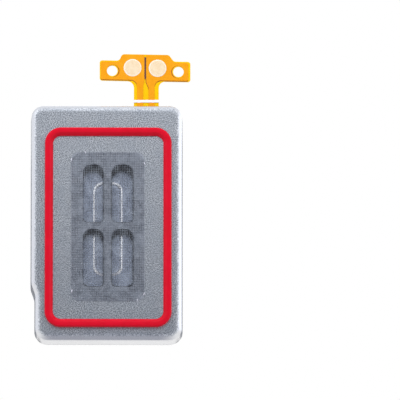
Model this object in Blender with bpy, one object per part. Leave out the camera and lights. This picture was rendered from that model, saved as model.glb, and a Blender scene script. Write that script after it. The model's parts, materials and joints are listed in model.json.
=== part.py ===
"""Loudspeaker module of a phone, built as its separate pieces.

A two-part steel case holds a small rectangular loudspeaker. Sound leaves through four slots under a
woven mesh, inside a silicone gasket. A flat flex tail with two contact pads leaves the case at the top.

The sound side faces -Y, +X is to the right and +Z is up. The origin is the middle of the case's
bottom wall. All lengths are in metres.
"""
import math

import bmesh
import bpy
from mathutils import Matrix, Vector

MM = 0.001
GAP = 0.02 * MM                    # film of glue or air between two pieces that touch

# Case
CASE_WIDTH = 17.1 * MM
CASE_HEIGHT = 27.0 * MM
CASE_CORNER = 1.4 * MM
CASE_EDGE = 0.6 * MM               # rounding between the faces and the side walls
CASE_WALL = 0.3 * MM
FRONT_Y = -2.2 * MM
PARTING_Y = 0.4 * MM
BAND_Y = 1.3 * MM                  # rear face at both ends
PLATEAU_Y = 2.2 * MM               # raised rear face between them
BAND_SIDE_STEP = 0.1 * MM
NOTCH_DEPTH = 0.45 * MM
NOTCH_TOP = 6.5 * MM
NOTCH_FOOT = 5.2 * MM
NOTCH_BEND = 1.5 * MM
RIDGE_FOOT_LOW = 2.8 * MM
RIDGE_CREST_LOW = 3.6 * MM
RIDGE_CREST_HIGH = 20.5 * MM
RIDGE_FOOT_HIGH = 22.1 * MM
RIDGE_ROUNDING = 0.7 * MM

# Rear recess with the vent
RECESS_X = 0.3 * MM
RECESS_Z = 6.0 * MM
RECESS_RADIUS = 2.65 * MM
RECESS_SLOPE = 0.95 * MM
RECESS_Y = 1.6 * MM
VENT_HOLE_RADIUS = 0.6 * MM
VENT_FILM_RADIUS = 2.6 * MM
VENT_FILM_HOLE = 0.515 * MM
VENT_FILM_THICK = 0.12 * MM
VENT_MEMBRANE_RADIUS = 2.4 * MM
VENT_MEMBRANE_THICK = 0.05 * MM

# Sound outlet
SLOT_COLUMNS = ((-2.61 * MM, -0.36 * MM), (0.60 * MM, 2.96 * MM))
SLOT_ROWS = ((6.17 * MM, 12.69 * MM), (13.55 * MM, 20.11 * MM))
SLOT_ARCH = 1.05 * MM
SLOT_FOOT = 0.5 * MM
MESH_CENTRE = (0.125 * MM, 13.02 * MM)
MESH_SIZE = (8.25 * MM, 17.1 * MM)
MESH_CORNER = 0.8 * MM
MESH_THICK = 0.09 * MM
ADHESIVE_THICK = 0.05 * MM
ADHESIVE_MARGIN = 0.1 * MM
GASKET_CENTRE = (0.175 * MM, 12.9 * MM)
GASKET_SIZE = (14.25 * MM, 22.9 * MM)
GASKET_BAND = 0.9 * MM
GASKET_HEIGHT = 0.5 * MM
GASKET_CORNER = 1.8 * MM
GASKET_ROUNDING = 0.22 * MM

# Loudspeaker unit, from front to back
UNIT_X = 0.15 * MM
UNIT_Z = 12.9 * MM
UNIT_SIZE = (11.6 * MM, 18.6 * MM)
UNIT_CORNER = 1.4 * MM
BASKET_WALL = 1.0 * MM
SEAL_Y = (-1.88 * MM, -1.68 * MM)
FRAME_Y = (-1.66 * MM, -1.46 * MM)
FRAME_WINDOW = (8.8 * MM, 15.8 * MM)
SURROUND_Y = (-1.44 * MM, -1.36 * MM)
DOME_Y = (-1.44 * MM, -1.34 * MM)
DOME_SIZE = (6.2 * MM, 13.2 * MM)
DOME_CORNER = 1.3 * MM
EMBOSS_SIZE = (3.04 * MM, 10.48 * MM)
EMBOSS_CORNER = 0.95 * MM
EMBOSS_LINE = 0.2 * MM
EMBOSS_HEIGHT = 0.08 * MM
COIL_Y = (-1.32 * MM, 0.0)
COIL_SIZE = (5.9 * MM, 12.9 * MM)
COIL_BAND = 0.4 * MM
POLE_Y = (-0.75 * MM, -0.45 * MM)
MAGNET_Y = (-0.43 * MM, 0.50 * MM)
YOKE_Y = (0.52 * MM, 0.82 * MM)
CENTRE_SIZE = (4.7 * MM, 11.7 * MM)
YOKE_SIZE = (9.4 * MM, 16.4 * MM)
POLE_WINDOW = (6.3 * MM, 13.3 * MM)
SIDE_MAGNET = (1.45 * MM, 11.6 * MM)
END_MAGNET = (5.6 * MM, 1.45 * MM)

# Contacts between the unit and the flex
SHELF_X = (3.2 * MM, 5.7 * MM)
SHELF_Y = (-0.2 * MM, 0.28 * MM)
SHELF_Z = (22.0 * MM, 23.5 * MM)
TERMINAL_SIZE = (0.6 * MM, 0.65 * MM, 0.6 * MM)
TERMINAL_Y = 0.105 * MM
TERMINAL_Z = 22.9 * MM
LEAD_RADIUS = 0.05 * MM
LEAD_Y = -1.05 * MM
LEAD_START_Z = 19.65 * MM
LEAD_HOLE_RADIUS = 0.12 * MM

# Granule packs in the rear volume
PACK_Y = (-1.6 * MM, 0.8 * MM)
PACK_UPPER_X = (-7.4 * MM, 2.4 * MM)
PACK_UPPER_Z = (23.2 * MM, 26.3 * MM)
PACK_LOWER_X = (-7.3 * MM, 7.9 * MM)
PACK_LOWER_Z = (0.6 * MM, 3.2 * MM)
SCREEN_THICK = 0.1 * MM

# Flex tail
FLEX_Y = (0.45 * MM, 0.55 * MM)
STEM_X = (3.05 * MM, 5.86 * MM)
ROOT_Z = 22.6 * MM
FOLD_Z = (27.91 * MM, 28.21 * MM)
HEAD_X = (-0.81 * MM, 9.43 * MM)
HEAD_FOOT_Z = 30.38 * MM
EAR_TOP_Z = 32.72 * MM
HEAD_TOP_Z = 33.52 * MM
HUMP_FOOT_X = (1.45 * MM, 7.45 * MM)
HUMP_TOP_X = (1.95 * MM, 6.95 * MM)
HEAD_FILLET = 0.75 * MM
EAR_CORNER = 0.3 * MM
HUMP_CORNER = 0.45 * MM
HOLES = ((0.60 * MM, 31.6 * MM), (8.08 * MM, 31.48 * MM))
HOLE_RADIUS = 0.6 * MM
HOLE_RIM_RADIUS = 0.82 * MM
PADS = (("left", 2.90 * MM, 31.94 * MM), ("right", 5.72 * MM, 31.88 * MM))
PAD_RADIUS = 1.0 * MM
COVERLAY_THICK = 0.04 * MM
COVERLAY_MARGIN = 0.06 * MM
SPLIT_X = (4.23 * MM, 4.44 * MM)
SPLIT_Z = (30.6 * MM, 33.1 * MM)
TRACES = (("left", 3.465 * MM, 4.14 * MM), ("right", 4.70 * MM, 5.38 * MM))
TRACE_THICK = 0.03 * MM
STIFFENER_X = (1.4 * MM, 7.3 * MM)
STIFFENER_Z = (30.5 * MM, 32.5 * MM)
STIFFENER_THICK = 0.12 * MM
FOAM_X = (1.18 * MM, 7.62 * MM)
FOAM_Z = (30.4 * MM, 33.35 * MM)
FOAM_THICK = 0.45 * MM
FOAM_SHOULDER = 0.75 * MM
CUTOUT_SLACK = 0.1 * MM            # clear space round the flex where it leaves the case

ARC_STEPS = 5
DISC_SIDES = 32
EDGE_STEPS = 3
SHARP_ANGLE = math.radians(32.0)
DRAW_SCALE = 1000.0                # outlines are drawn larger, where the curve fill is accurate


# ---------------------------------------------------------------- scene and materials

def clear_scene():
    for item in list(bpy.data.objects):
        bpy.data.objects.remove(item, do_unlink=True)


def new_collection(name):
    collection = bpy.data.collections.new(name)
    bpy.context.scene.collection.children.link(collection)
    return collection


def new_material(name, colour, roughness, metallic=0.0):
    material = bpy.data.materials.new(name)
    material.use_nodes = True
    shader = material.node_tree.nodes["Principled BSDF"]
    shader.inputs["Base Color"].default_value = (*colour, 1.0)
    shader.inputs["Roughness"].default_value = roughness
    shader.inputs["Metallic"].default_value = metallic
    return material


# ---------------------------------------------------------------- outlines

def rounded_outline(corners, steps=ARC_STEPS):
    """Closed outline through (u, v, radius) corners, each turned with an arc of that radius."""
    outline = []
    for index, (u, v, radius) in enumerate(corners):
        corner = Vector((u, v))
        if radius <= 0.0:
            outline.append(corner)
            continue
        following = corners[(index + 1) % len(corners)]
        before = (Vector(corners[index - 1][:2]) - corner).normalized()
        after = (Vector(following[:2]) - corner).normalized()
        half_angle = before.angle(after) / 2.0
        reach = radius / math.tan(half_angle)
        centre = corner + (before + after).normalized() * (radius / math.sin(half_angle))
        start = corner + before * reach - centre
        end = corner + after * reach - centre
        first = math.atan2(start.y, start.x)
        turn = (math.atan2(end.y, end.x) - first + math.pi) % math.tau - math.pi
        for step in range(steps + 1):
            angle = first + turn * step / steps
            outline.append(centre + Vector((math.cos(angle), math.sin(angle))) * radius)
    return outline


def rounded_rectangle(centre, size, radius, steps=ARC_STEPS):
    left, right = centre[0] - size[0] / 2.0, centre[0] + size[0] / 2.0
    low, high = centre[1] - size[1] / 2.0, centre[1] + size[1] / 2.0
    corners = ((left, low, radius), (right, low, radius), (right, high, radius), (left, high, radius))
    return rounded_outline(corners, steps)


def unit_rectangle(size, radius):
    """Rounded rectangle centred on the loudspeaker unit."""
    return rounded_rectangle((UNIT_X, UNIT_Z), size, radius)


def circle_outline(centre, radius, sides=DISC_SIDES):
    outline = []
    for side in range(sides):
        angle = math.tau * side / sides
        outline.append(Vector((centre[0] + radius * math.cos(angle), centre[1] + radius * math.sin(angle))))
    return outline


def case_outline(side_inset, end_inset):
    """Outline of the case seen from the front, with the step in its lower left side."""
    left = -CASE_WIDTH / 2.0 + side_inset
    right = CASE_WIDTH / 2.0 - side_inset
    notch = left + NOTCH_DEPTH
    low = end_inset
    high = CASE_HEIGHT - end_inset
    corner = CASE_CORNER - end_inset
    return rounded_outline((
        (notch, low, corner), (right, low, corner), (right, high, corner), (left, high, corner),
        (left, NOTCH_TOP, NOTCH_BEND), (notch, NOTCH_FOOT, NOTCH_BEND)))


def ridge_profile(start_y, inset):
    """Side profile (y, z) of the raised rear plateau, whose sloping ends run on down to start_y."""
    crest = PLATEAU_Y - inset
    low, high = RIDGE_CREST_LOW + inset, RIDGE_CREST_HIGH - inset
    fall = (crest - start_y) / (PLATEAU_Y - BAND_Y)
    low_foot = low - (RIDGE_CREST_LOW - RIDGE_FOOT_LOW) * fall
    high_foot = high + (RIDGE_FOOT_HIGH - RIDGE_CREST_HIGH) * fall
    return rounded_outline((
        (start_y, low_foot, 0.0), (start_y, high_foot, 0.0),
        (crest, high, RIDGE_ROUNDING), (crest, low, RIDGE_ROUNDING)))


def slot_outline(column, row, margin=0.0):
    """Slot with an arched top and rounded feet, grown by a margin."""
    left, right = column[0] - margin, column[1] + margin
    low, high = row[0] - margin, row[1] + margin
    return rounded_outline((
        (left, low, SLOT_FOOT), (right, low, SLOT_FOOT), (right, high, SLOT_ARCH), (left, high, SLOT_ARCH)))


def head_corners(margin=0.0):
    """Corners of the flex's head, from its right foot round to its left foot."""
    left, right = HEAD_X[0] + margin, HEAD_X[1] - margin
    foot, ears, top = HEAD_FOOT_Z + margin, EAR_TOP_Z - margin, HEAD_TOP_Z - margin
    return (
        (right, foot, EAR_CORNER), (right, ears, EAR_CORNER),
        (HUMP_FOOT_X[1], ears, HUMP_CORNER), (HUMP_TOP_X[1], top, HUMP_CORNER),
        (HUMP_TOP_X[0], top, HUMP_CORNER), (HUMP_FOOT_X[0], ears, HUMP_CORNER),
        (left, ears, EAR_CORNER), (left, foot, EAR_CORNER))


def tail_outline():
    """T-shaped outline of the flex above its fold: the head, and the stem that carries it."""
    stem_foot = FOLD_Z[1] + GAP
    stem = ((STEM_X[0], HEAD_FOOT_Z, HEAD_FILLET), (STEM_X[0], stem_foot, 0.0),
            (STEM_X[1], stem_foot, 0.0), (STEM_X[1], HEAD_FOOT_Z, HEAD_FILLET))
    return rounded_outline((*head_corners(), *stem))


# ---------------------------------------------------------------- solids

def finish_mesh(mesh):
    mesh.shade_smooth()
    mesh.set_sharp_from_angle(angle=SHARP_ANGLE)


def link_solid(name, mesh, collection, material=None):
    solid = bpy.data.objects.new(name, mesh)
    collection.objects.link(solid)
    if material is not None:
        mesh.materials.clear()
        mesh.materials.append(material)
        finish_mesh(mesh)
    else:
        solid.hide_render = True
        solid.display_type = "WIRE"
    return solid


# A curve's own axes (u, v, depth) laid along the world's axes for each direction of extrusion
AXES = {
    "Y": Matrix(((1, 0, 0, 0), (0, 0, -1, 0), (0, 1, 0, 0), (0, 0, 0, 1))),
    "X": Matrix(((0, 0, 1, 0), (1, 0, 0, 0), (0, 1, 0, 0), (0, 0, 0, 1))),
}


def prism(name, loops, low, high, collection, material=None, axis="Y"):
    """Flat outline with holes, extruded along an axis from low to high."""
    curve = bpy.data.curves.new(name, "CURVE")
    curve.dimensions = "2D"
    curve.fill_mode = "BOTH"
    curve.extrude = (high - low) / 2.0 * DRAW_SCALE
    for loop in loops:
        spline = curve.splines.new("POLY")
        spline.points.add(len(loop) - 1)
        spline.use_cyclic_u = True
        for point, (u, v) in zip(spline.points, loop):
            point.co = (u * DRAW_SCALE, v * DRAW_SCALE, 0.0, 1.0)
    outline = bpy.data.objects.new(name + "_outline", curve)
    collection.objects.link(outline)
    depsgraph = bpy.context.evaluated_depsgraph_get()
    mesh = bpy.data.meshes.new_from_object(outline.evaluated_get(depsgraph))
    bpy.data.objects.remove(outline, do_unlink=True)
    bpy.data.curves.remove(curve)
    middle = Vector((0.0, 0.0, 0.0))
    middle["XYZ".index(axis)] = (low + high) / 2.0
    shaper = bmesh.new()
    shaper.from_mesh(mesh)
    bmesh.ops.remove_doubles(shaper, verts=shaper.verts, dist=0.001)
    shaper.transform(Matrix.Translation(middle) @ AXES[axis] @ Matrix.Scale(1.0 / DRAW_SCALE, 4))
    shaper.normal_update()
    shaper.to_mesh(mesh)
    shaper.free()
    mesh.name = name
    return link_solid(name, mesh, collection, material)


def block(name, x_range, y_range, z_range, collection, material=None):
    mesh = bpy.data.meshes.new(name)
    shaper = bmesh.new()
    bmesh.ops.create_cube(shaper, size=1.0)
    ranges = (x_range, y_range, z_range)
    middle = Vector([(low + high) / 2.0 for low, high in ranges])
    size = Matrix.Diagonal([high - low for low, high in ranges]).to_4x4()
    shaper.transform(Matrix.Translation(middle) @ size)
    shaper.to_mesh(mesh)
    shaper.free()
    return link_solid(name, mesh, collection, material)


def disc(name, centre, radius, y_range, collection, material=None, sides=DISC_SIDES):
    """Cylinder along Y."""
    mesh = bpy.data.meshes.new(name)
    shaper = bmesh.new()
    depth = y_range[1] - y_range[0]
    bmesh.ops.create_cone(shaper, cap_ends=True, segments=sides, radius1=radius, radius2=radius, depth=depth)
    middle = Vector((centre[0], (y_range[0] + y_range[1]) / 2.0, centre[1]))
    shaper.transform(Matrix.Translation(middle) @ Matrix.Rotation(math.pi / 2.0, 4, "X"))
    shaper.to_mesh(mesh)
    shaper.free()
    return link_solid(name, mesh, collection, material)


def round_rim(solid, y, radius, steps=EDGE_STEPS):
    """Bevel the sharp edges that lie in the plane at this y."""
    mesh = solid.data
    shaper = bmesh.new()
    shaper.from_mesh(mesh)
    rim = []
    for edge in shaper.edges:
        in_plane = all(abs(vertex.co.y - y) < GAP / 10.0 for vertex in edge.verts)
        if in_plane and edge.calc_face_angle() > SHARP_ANGLE:
            rim.append(edge)
    bmesh.ops.bevel(shaper, geom=rim, offset=radius, segments=steps, profile=0.5, affect="EDGES",
                    clamp_overlap=True)
    shaper.to_mesh(mesh)
    shaper.free()
    if mesh.materials:
        finish_mesh(mesh)


def cut(solid, cutter, operation="DIFFERENCE"):
    modifier = solid.modifiers.new(operation.lower() + "_" + cutter.name, "BOOLEAN")
    modifier.operation = operation
    modifier.solver = "EXACT"
    modifier.object = cutter


def axis_empty(name, location, collection):
    empty = bpy.data.objects.new(name, None)
    empty.location = location
    empty.empty_display_size = 1.0 * MM
    collection.objects.link(empty)
    return empty


def carry(solid, empty):
    """Hang a piece on the empty at its joint, with its own origin on the joint's axis."""
    solid.data.transform(Matrix.Translation(-Vector(empty.location)))
    solid.parent = empty


# ---------------------------------------------------------------- case

def case_slab(name, side_inset, end_inset, y_range, rim_y, rim_radius, collection, material=None):
    slab = prism(name, [case_outline(side_inset, end_inset)], *y_range, collection, material)
    round_rim(slab, rim_y, rim_radius)
    return slab


def build_front_can(parts, cutters, steel):
    inner_y = FRONT_Y + CASE_WALL
    can = case_slab("front_can", 0.0, 0.0, (FRONT_Y, PARTING_Y), FRONT_Y, CASE_EDGE, parts, steel)
    hollow = case_slab("front_can_hollow", CASE_WALL, CASE_WALL, (inner_y, BAND_Y), inner_y,
                       CASE_EDGE - CASE_WALL, cutters)
    cut(can, hollow)
    slots = [slot_outline(column, row) for column in SLOT_COLUMNS for row in SLOT_ROWS]
    cut(can, prism("sound_slots", slots, FRONT_Y - CASE_WALL, inner_y + CASE_WALL, cutters))


def recess_solid(name, inset, collection):
    """Arched recess, open at its foot, whose sides widen towards the plateau's face."""
    floor_y = RECESS_Y - inset
    radius = RECESS_RADIUS + inset
    foot = RIDGE_FOOT_LOW - RECESS_RADIUS
    left, right = RECESS_X - radius, RECESS_X + radius
    arch = [Vector((right, foot))]
    for step in range(2 * ARC_STEPS + 3):
        angle = math.pi * step / (2 * ARC_STEPS + 2)
        arch.append(Vector((RECESS_X + radius * math.cos(angle), RECESS_Z + radius * math.sin(angle))))
    arch.append(Vector((left, foot)))
    depth = PLATEAU_Y - RECESS_Y
    mesh = bpy.data.meshes.new(name)
    shaper = bmesh.new()
    floor = shaper.faces.new([shaper.verts.new((point.x, floor_y, point.y)) for point in arch])
    grown = bmesh.ops.extrude_face_region(shaper, geom=[floor])
    mouth = [item for item in grown["geom"] if isinstance(item, bmesh.types.BMVert)]
    widening = (radius + RECESS_SLOPE * 2.0) / radius
    bmesh.ops.translate(shaper, verts=mouth, vec=(0.0, depth * 2.0, 0.0))
    pivot = Matrix.Translation((-RECESS_X, 0.0, -RECESS_Z))
    bmesh.ops.scale(shaper, verts=mouth, vec=(widening, 1.0, widening), space=pivot)
    bmesh.ops.recalc_face_normals(shaper, faces=shaper.faces)
    shaper.to_mesh(mesh)
    shaper.free()
    return link_solid(name, mesh, collection)


def rear_form(name, inset, collection, cutters, material=None):
    """Outer form of the rear cover, or its hollow when inset by the wall, not yet trimmed at the parting."""
    edge = CASE_EDGE - inset
    bands = case_slab(name, BAND_SIDE_STEP + inset, inset, (PARTING_Y - CASE_WALL, BAND_Y - inset),
                      BAND_Y - inset, edge, collection, material)
    plateau = case_slab(name + "_plateau", inset, inset, (FRONT_Y, PLATEAU_Y - inset), PLATEAU_Y - inset,
                        edge, cutters)
    ridge = prism(name + "_ridge", [ridge_profile(PARTING_Y - 2.0 * CASE_WALL, inset)], -CASE_WIDTH,
                  CASE_WIDTH, cutters, axis="X")
    cut(plateau, ridge, "INTERSECT")
    cut(bands, plateau, "UNION")
    cut(bands, recess_solid(name + "_recess", inset, cutters))
    return bands


def build_rear_cover(parts, cutters, steel):
    cover = rear_form("rear_cover", 0.0, parts, cutters, steel)
    cut(cover, rear_form("rear_hollow", CASE_WALL, cutters, cutters))
    whole_x = (-CASE_WIDTH, CASE_WIDTH)
    whole_z = (-CASE_WALL, CASE_HEIGHT + CASE_WALL)
    cut(cover, block("parting_trim", whole_x, (FRONT_Y, PARTING_Y + GAP), whole_z, cutters))
    vent = disc("vent_hole", (RECESS_X, RECESS_Z), VENT_HOLE_RADIUS, (BAND_Y - CASE_WALL, PLATEAU_Y), cutters)
    cut(cover, vent)
    exit_x = (STEM_X[0] - CUTOUT_SLACK, STEM_X[1] + CUTOUT_SLACK)
    exit_z = (CASE_HEIGHT - 2.0 * CASE_WALL, CASE_HEIGHT + CASE_WALL)
    cut(cover, block("flex_exit", exit_x, (FRONT_Y, FLEX_Y[1] + CUTOUT_SLACK), exit_z, cutters))


def build_vent(parts, film, membrane):
    base = RECESS_Y + GAP
    membrane_y = (base, base + VENT_MEMBRANE_THICK)
    film_y = (membrane_y[1] + GAP, membrane_y[1] + GAP + VENT_FILM_THICK)
    centre = (RECESS_X, RECESS_Z)
    disc("vent_membrane", centre, VENT_MEMBRANE_RADIUS, membrane_y, parts, membrane)
    loops = [circle_outline(centre, VENT_FILM_RADIUS), circle_outline(centre, VENT_FILM_HOLE, DISC_SIDES // 2)]
    prism("vent_film", loops, *film_y, parts, film)


def build_outlet(parts, rubber, weave, glue):
    inner_size = (GASKET_SIZE[0] - 2.0 * GASKET_BAND, GASKET_SIZE[1] - 2.0 * GASKET_BAND)
    back_y = FRONT_Y - GAP
    loops = [rounded_rectangle(GASKET_CENTRE, GASKET_SIZE, GASKET_CORNER),
             rounded_rectangle(GASKET_CENTRE, inner_size, GASKET_CORNER - GASKET_BAND)]
    gasket = prism("front_gasket", loops, back_y - GASKET_HEIGHT, back_y, parts, rubber)
    round_rim(gasket, back_y - GASKET_HEIGHT, GASKET_ROUNDING)

    outer = rounded_rectangle(MESH_CENTRE, MESH_SIZE, MESH_CORNER, 2)
    openings = [slot_outline(column, row, ADHESIVE_MARGIN) for column in SLOT_COLUMNS for row in SLOT_ROWS]
    glue_y = (back_y - ADHESIVE_THICK, back_y)
    prism("mesh_adhesive", [outer, *openings], *glue_y, parts, glue)
    mesh_back = glue_y[0] - GAP
    prism("acoustic_mesh", [outer], mesh_back - MESH_THICK, mesh_back, parts, weave)


# ---------------------------------------------------------------- loudspeaker unit

def unit_ring(name, outer, window, y_range, parts, material, corner=UNIT_CORNER):
    """Flat ring round the unit's middle, whose window keeps an even band."""
    band = (outer[0] - window[0]) / 2.0
    loops = [unit_rectangle(outer, corner), unit_rectangle(window, corner - band)]
    return prism(name, loops, *y_range, parts, material)


def build_diaphragm(parts, cutters, slide, looks):
    hole = (DOME_SIZE[0] + 2.0 * GAP, DOME_SIZE[1] + 2.0 * GAP)
    outer = (UNIT_SIZE[0] - BASKET_WALL / 2.0, UNIT_SIZE[1] - BASKET_WALL / 2.0)
    loops = [unit_rectangle(outer, UNIT_CORNER), unit_rectangle(hole, DOME_CORNER + GAP)]
    prism("diaphragm_surround", loops, *SURROUND_Y, parts, looks["surround"])

    dome = prism("diaphragm_dome", [unit_rectangle(DOME_SIZE, DOME_CORNER)], *DOME_Y, parts, looks["dome"])
    inner = (EMBOSS_SIZE[0] - 2.0 * EMBOSS_LINE, EMBOSS_SIZE[1] - 2.0 * EMBOSS_LINE)
    loops = [unit_rectangle(EMBOSS_SIZE, EMBOSS_CORNER), unit_rectangle(inner, EMBOSS_CORNER - EMBOSS_LINE)]
    emboss_y = (DOME_Y[0] - EMBOSS_HEIGHT, (DOME_Y[0] + DOME_Y[1]) / 2.0)
    cut(dome, prism("dome_emboss", loops, *emboss_y, cutters), "UNION")
    carry(dome, slide)

    inside = (COIL_SIZE[0] - 2.0 * COIL_BAND, COIL_SIZE[1] - 2.0 * COIL_BAND)
    loops = [unit_rectangle(COIL_SIZE, DOME_CORNER), unit_rectangle(inside, DOME_CORNER - COIL_BAND)]
    carry(prism("voice_coil", loops, *COIL_Y, parts, looks["coil"]), slide)


def build_magnet_circuit(parts, looks):
    corner = 0.4 * MM
    prism("centre_pole_plate", [unit_rectangle(CENTRE_SIZE, corner)], *POLE_Y, parts, looks["pole"])
    prism("centre_magnet", [unit_rectangle(CENTRE_SIZE, corner)], *MAGNET_Y, parts, looks["magnet"])
    prism("yoke_plate", [unit_rectangle(YOKE_SIZE, corner)], *YOKE_Y, parts, looks["pole"])
    loops = [unit_rectangle(YOKE_SIZE, corner), unit_rectangle(POLE_WINDOW, DOME_CORNER)]
    prism("outer_pole_ring", loops, *POLE_Y, parts, looks["pole"])
    side_reach = (YOKE_SIZE[0] - SIDE_MAGNET[0]) / 2.0
    end_reach = (YOKE_SIZE[1] - END_MAGNET[1]) / 2.0
    places = (("left", -side_reach, 0.0, SIDE_MAGNET), ("right", side_reach, 0.0, SIDE_MAGNET),
              ("lower", 0.0, -end_reach, END_MAGNET), ("upper", 0.0, end_reach, END_MAGNET))
    for side, shift_x, shift_z, size in places:
        x, z = UNIT_X + shift_x, UNIT_Z + shift_z
        x_range = (x - size[0] / 2.0, x + size[0] / 2.0)
        z_range = (z - size[1] / 2.0, z + size[1] / 2.0)
        block("outer_magnet_" + side, x_range, MAGNET_Y, z_range, parts, looks["magnet"])


def trace_middle(trace):
    return (trace[1] + trace[2]) / 2.0


def build_basket(parts, cutters, looks):
    window = (UNIT_SIZE[0] - 2.0 * BASKET_WALL, UNIT_SIZE[1] - 2.0 * BASKET_WALL)
    unit_ring("basket_seal", UNIT_SIZE, window, SEAL_Y, parts, looks["foam"])
    loops = [unit_rectangle(UNIT_SIZE, UNIT_CORNER), unit_rectangle(FRAME_WINDOW, UNIT_CORNER)]
    prism("speaker_front_frame", loops, *FRAME_Y, parts, looks["pole"])
    basket_y = (SURROUND_Y[1] + GAP, YOKE_Y[1])
    basket = unit_ring("speaker_basket", UNIT_SIZE, window, basket_y, parts, looks["plastic"])
    cut(basket, block("terminal_shelf", SHELF_X, SHELF_Y, SHELF_Z, cutters), "UNION")
    for trace in TRACES:
        build_terminal(trace, basket, parts, cutters, looks)


def build_terminal(trace, basket, parts, cutters, looks):
    """Spring contact through the basket's shelf, with the coil's lead that reaches it."""
    side, x = trace[0], trace_middle(trace)
    middle = (x, TERMINAL_Y, TERMINAL_Z)
    ranges = [(place - size / 2.0, place + size / 2.0) for place, size in zip(middle, TERMINAL_SIZE)]
    block("terminal_" + side, *ranges, parts, looks["gold"])
    seat = [(low - GAP, high + GAP) for low, high in ranges]
    seat[1] = (SHELF_Y[0] - CASE_WALL, SHELF_Y[1] + CASE_WALL)
    cut(basket, block("terminal_seat_" + side, *seat, cutters))

    wall_z = UNIT_Z + UNIT_SIZE[1] / 2.0
    hole_z = (wall_z - 2.0 * BASKET_WALL, wall_z + BASKET_WALL)
    reach = (x - LEAD_HOLE_RADIUS, x + LEAD_HOLE_RADIUS)
    depth = (LEAD_Y - LEAD_HOLE_RADIUS, LEAD_Y + LEAD_HOLE_RADIUS)
    cut(basket, block("lead_hole_" + side, reach, depth, hole_z, cutters))
    touch_y = ranges[1][0] - GAP - LEAD_RADIUS
    route = ((x, LEAD_Y, LEAD_START_Z), (x, LEAD_Y, wall_z), (x, LEAD_Y * 0.8, TERMINAL_Z - LEAD_RADIUS),
             (x, touch_y, TERMINAL_Z))
    wire("coil_lead_" + side, route, LEAD_RADIUS, parts, looks["copper"])


def wire(name, route, radius, parts, material):
    curve = bpy.data.curves.new(name, "CURVE")
    curve.dimensions = "3D"
    curve.bevel_depth = radius
    curve.bevel_resolution = 1
    curve.use_fill_caps = True
    spline = curve.splines.new("POLY")
    spline.points.add(len(route) - 1)
    for point, place in zip(spline.points, route):
        point.co = (*place, 1.0)
    curve.materials.append(material)
    parts.objects.link(bpy.data.objects.new(name, curve))


def build_granule_packs(parts, looks):
    """Granule packs that fill both ends of the rear volume, each behind a fine screen."""
    block("granule_pack_upper", PACK_UPPER_X, PACK_Y, PACK_UPPER_Z, parts, looks["granules"])
    block("granule_pack_lower", PACK_LOWER_X, PACK_Y, PACK_LOWER_Z, parts, looks["granules"])
    upper_z = (PACK_UPPER_Z[0] - GAP - SCREEN_THICK, PACK_UPPER_Z[0] - GAP)
    lower_z = (PACK_LOWER_Z[1] + GAP, PACK_LOWER_Z[1] + GAP + SCREEN_THICK)
    block("granule_screen_upper", PACK_UPPER_X, PACK_Y, upper_z, parts, looks["weave"])
    block("granule_screen_lower", PACK_LOWER_X, PACK_Y, lower_z, parts, looks["weave"])


# ---------------------------------------------------------------- flex tail

def build_flex_root(parts, looks):
    block("flex_root", STEM_X, FLEX_Y, (ROOT_Z, FOLD_Z[0] - GAP), parts, looks["film"])
    block("flex_fold", STEM_X, FLEX_Y, FOLD_Z, parts, looks["ink"])


def build_flex_head(parts, hinge, looks):
    openings = [circle_outline(hole, HOLE_RADIUS, 24) for hole in HOLES]
    carry(prism("flex_tail", [tail_outline(), *openings], *FLEX_Y, parts, looks["film"]), hinge)

    front = FLEX_Y[0] - GAP
    cover_y = (front - COVERLAY_THICK, front)
    windows = [circle_outline((x, z), PAD_RADIUS + GAP) for _, x, z in PADS]
    windows += [circle_outline(hole, HOLE_RIM_RADIUS, 24) for hole in HOLES]
    windows.append([Vector((u, v)) for u, v in (
        (SPLIT_X[0], SPLIT_Z[0]), (SPLIT_X[1], SPLIT_Z[0]), (SPLIT_X[1], SPLIT_Z[1]), (SPLIT_X[0], SPLIT_Z[1]))])
    outline = rounded_outline(head_corners(COVERLAY_MARGIN))
    carry(prism("flex_coverlay", [outline, *windows], *cover_y, parts, looks["coverlay"]), hinge)
    for side, x, z in PADS:
        carry(disc("contact_pad_" + side, (x, z), PAD_RADIUS, cover_y, parts, looks["gold"]), hinge)
    for side, left, right in TRACES:
        trace_z = (FOLD_Z[1] + 2.0 * GAP, HEAD_FOOT_Z - GAP)
        strip = block("trace_" + side, (left, right), (front - TRACE_THICK, front), trace_z, parts,
                      looks["copper"])
        carry(strip, hinge)


def build_flex_backing(parts, cutters, hinge, looks):
    stiffener_y = (FLEX_Y[1] + GAP, FLEX_Y[1] + GAP + STIFFENER_THICK)
    carry(block("head_stiffener", STIFFENER_X, stiffener_y, STIFFENER_Z, parts, looks["film"]), hinge)
    foam_y = (stiffener_y[1] + GAP, stiffener_y[1] + GAP + FOAM_THICK)
    left, right = FOAM_X
    low, high = FOAM_Z
    edge = 0.2 * MM
    outline = rounded_outline((
        (left, low, edge), (right, low, edge), (right, high - FOAM_SHOULDER, edge),
        (right - FOAM_SHOULDER, high, edge), (left + FOAM_SHOULDER, high, edge),
        (left, high - FOAM_SHOULDER, edge)))
    foam = prism("backing_foam", [outline], *foam_y, parts, looks["foam"])
    for number, hole in enumerate(HOLES):
        reach = (FLEX_Y[1], foam_y[1] + FOAM_THICK)
        cut(foam, disc(f"foam_relief_{number}", hole, HOLE_RIM_RADIUS + GAP, reach, cutters, sides=24))
    round_rim(foam, foam_y[1], edge / 2.0, 2)
    carry(foam, hinge)


# ---------------------------------------------------------------- whole module

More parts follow.
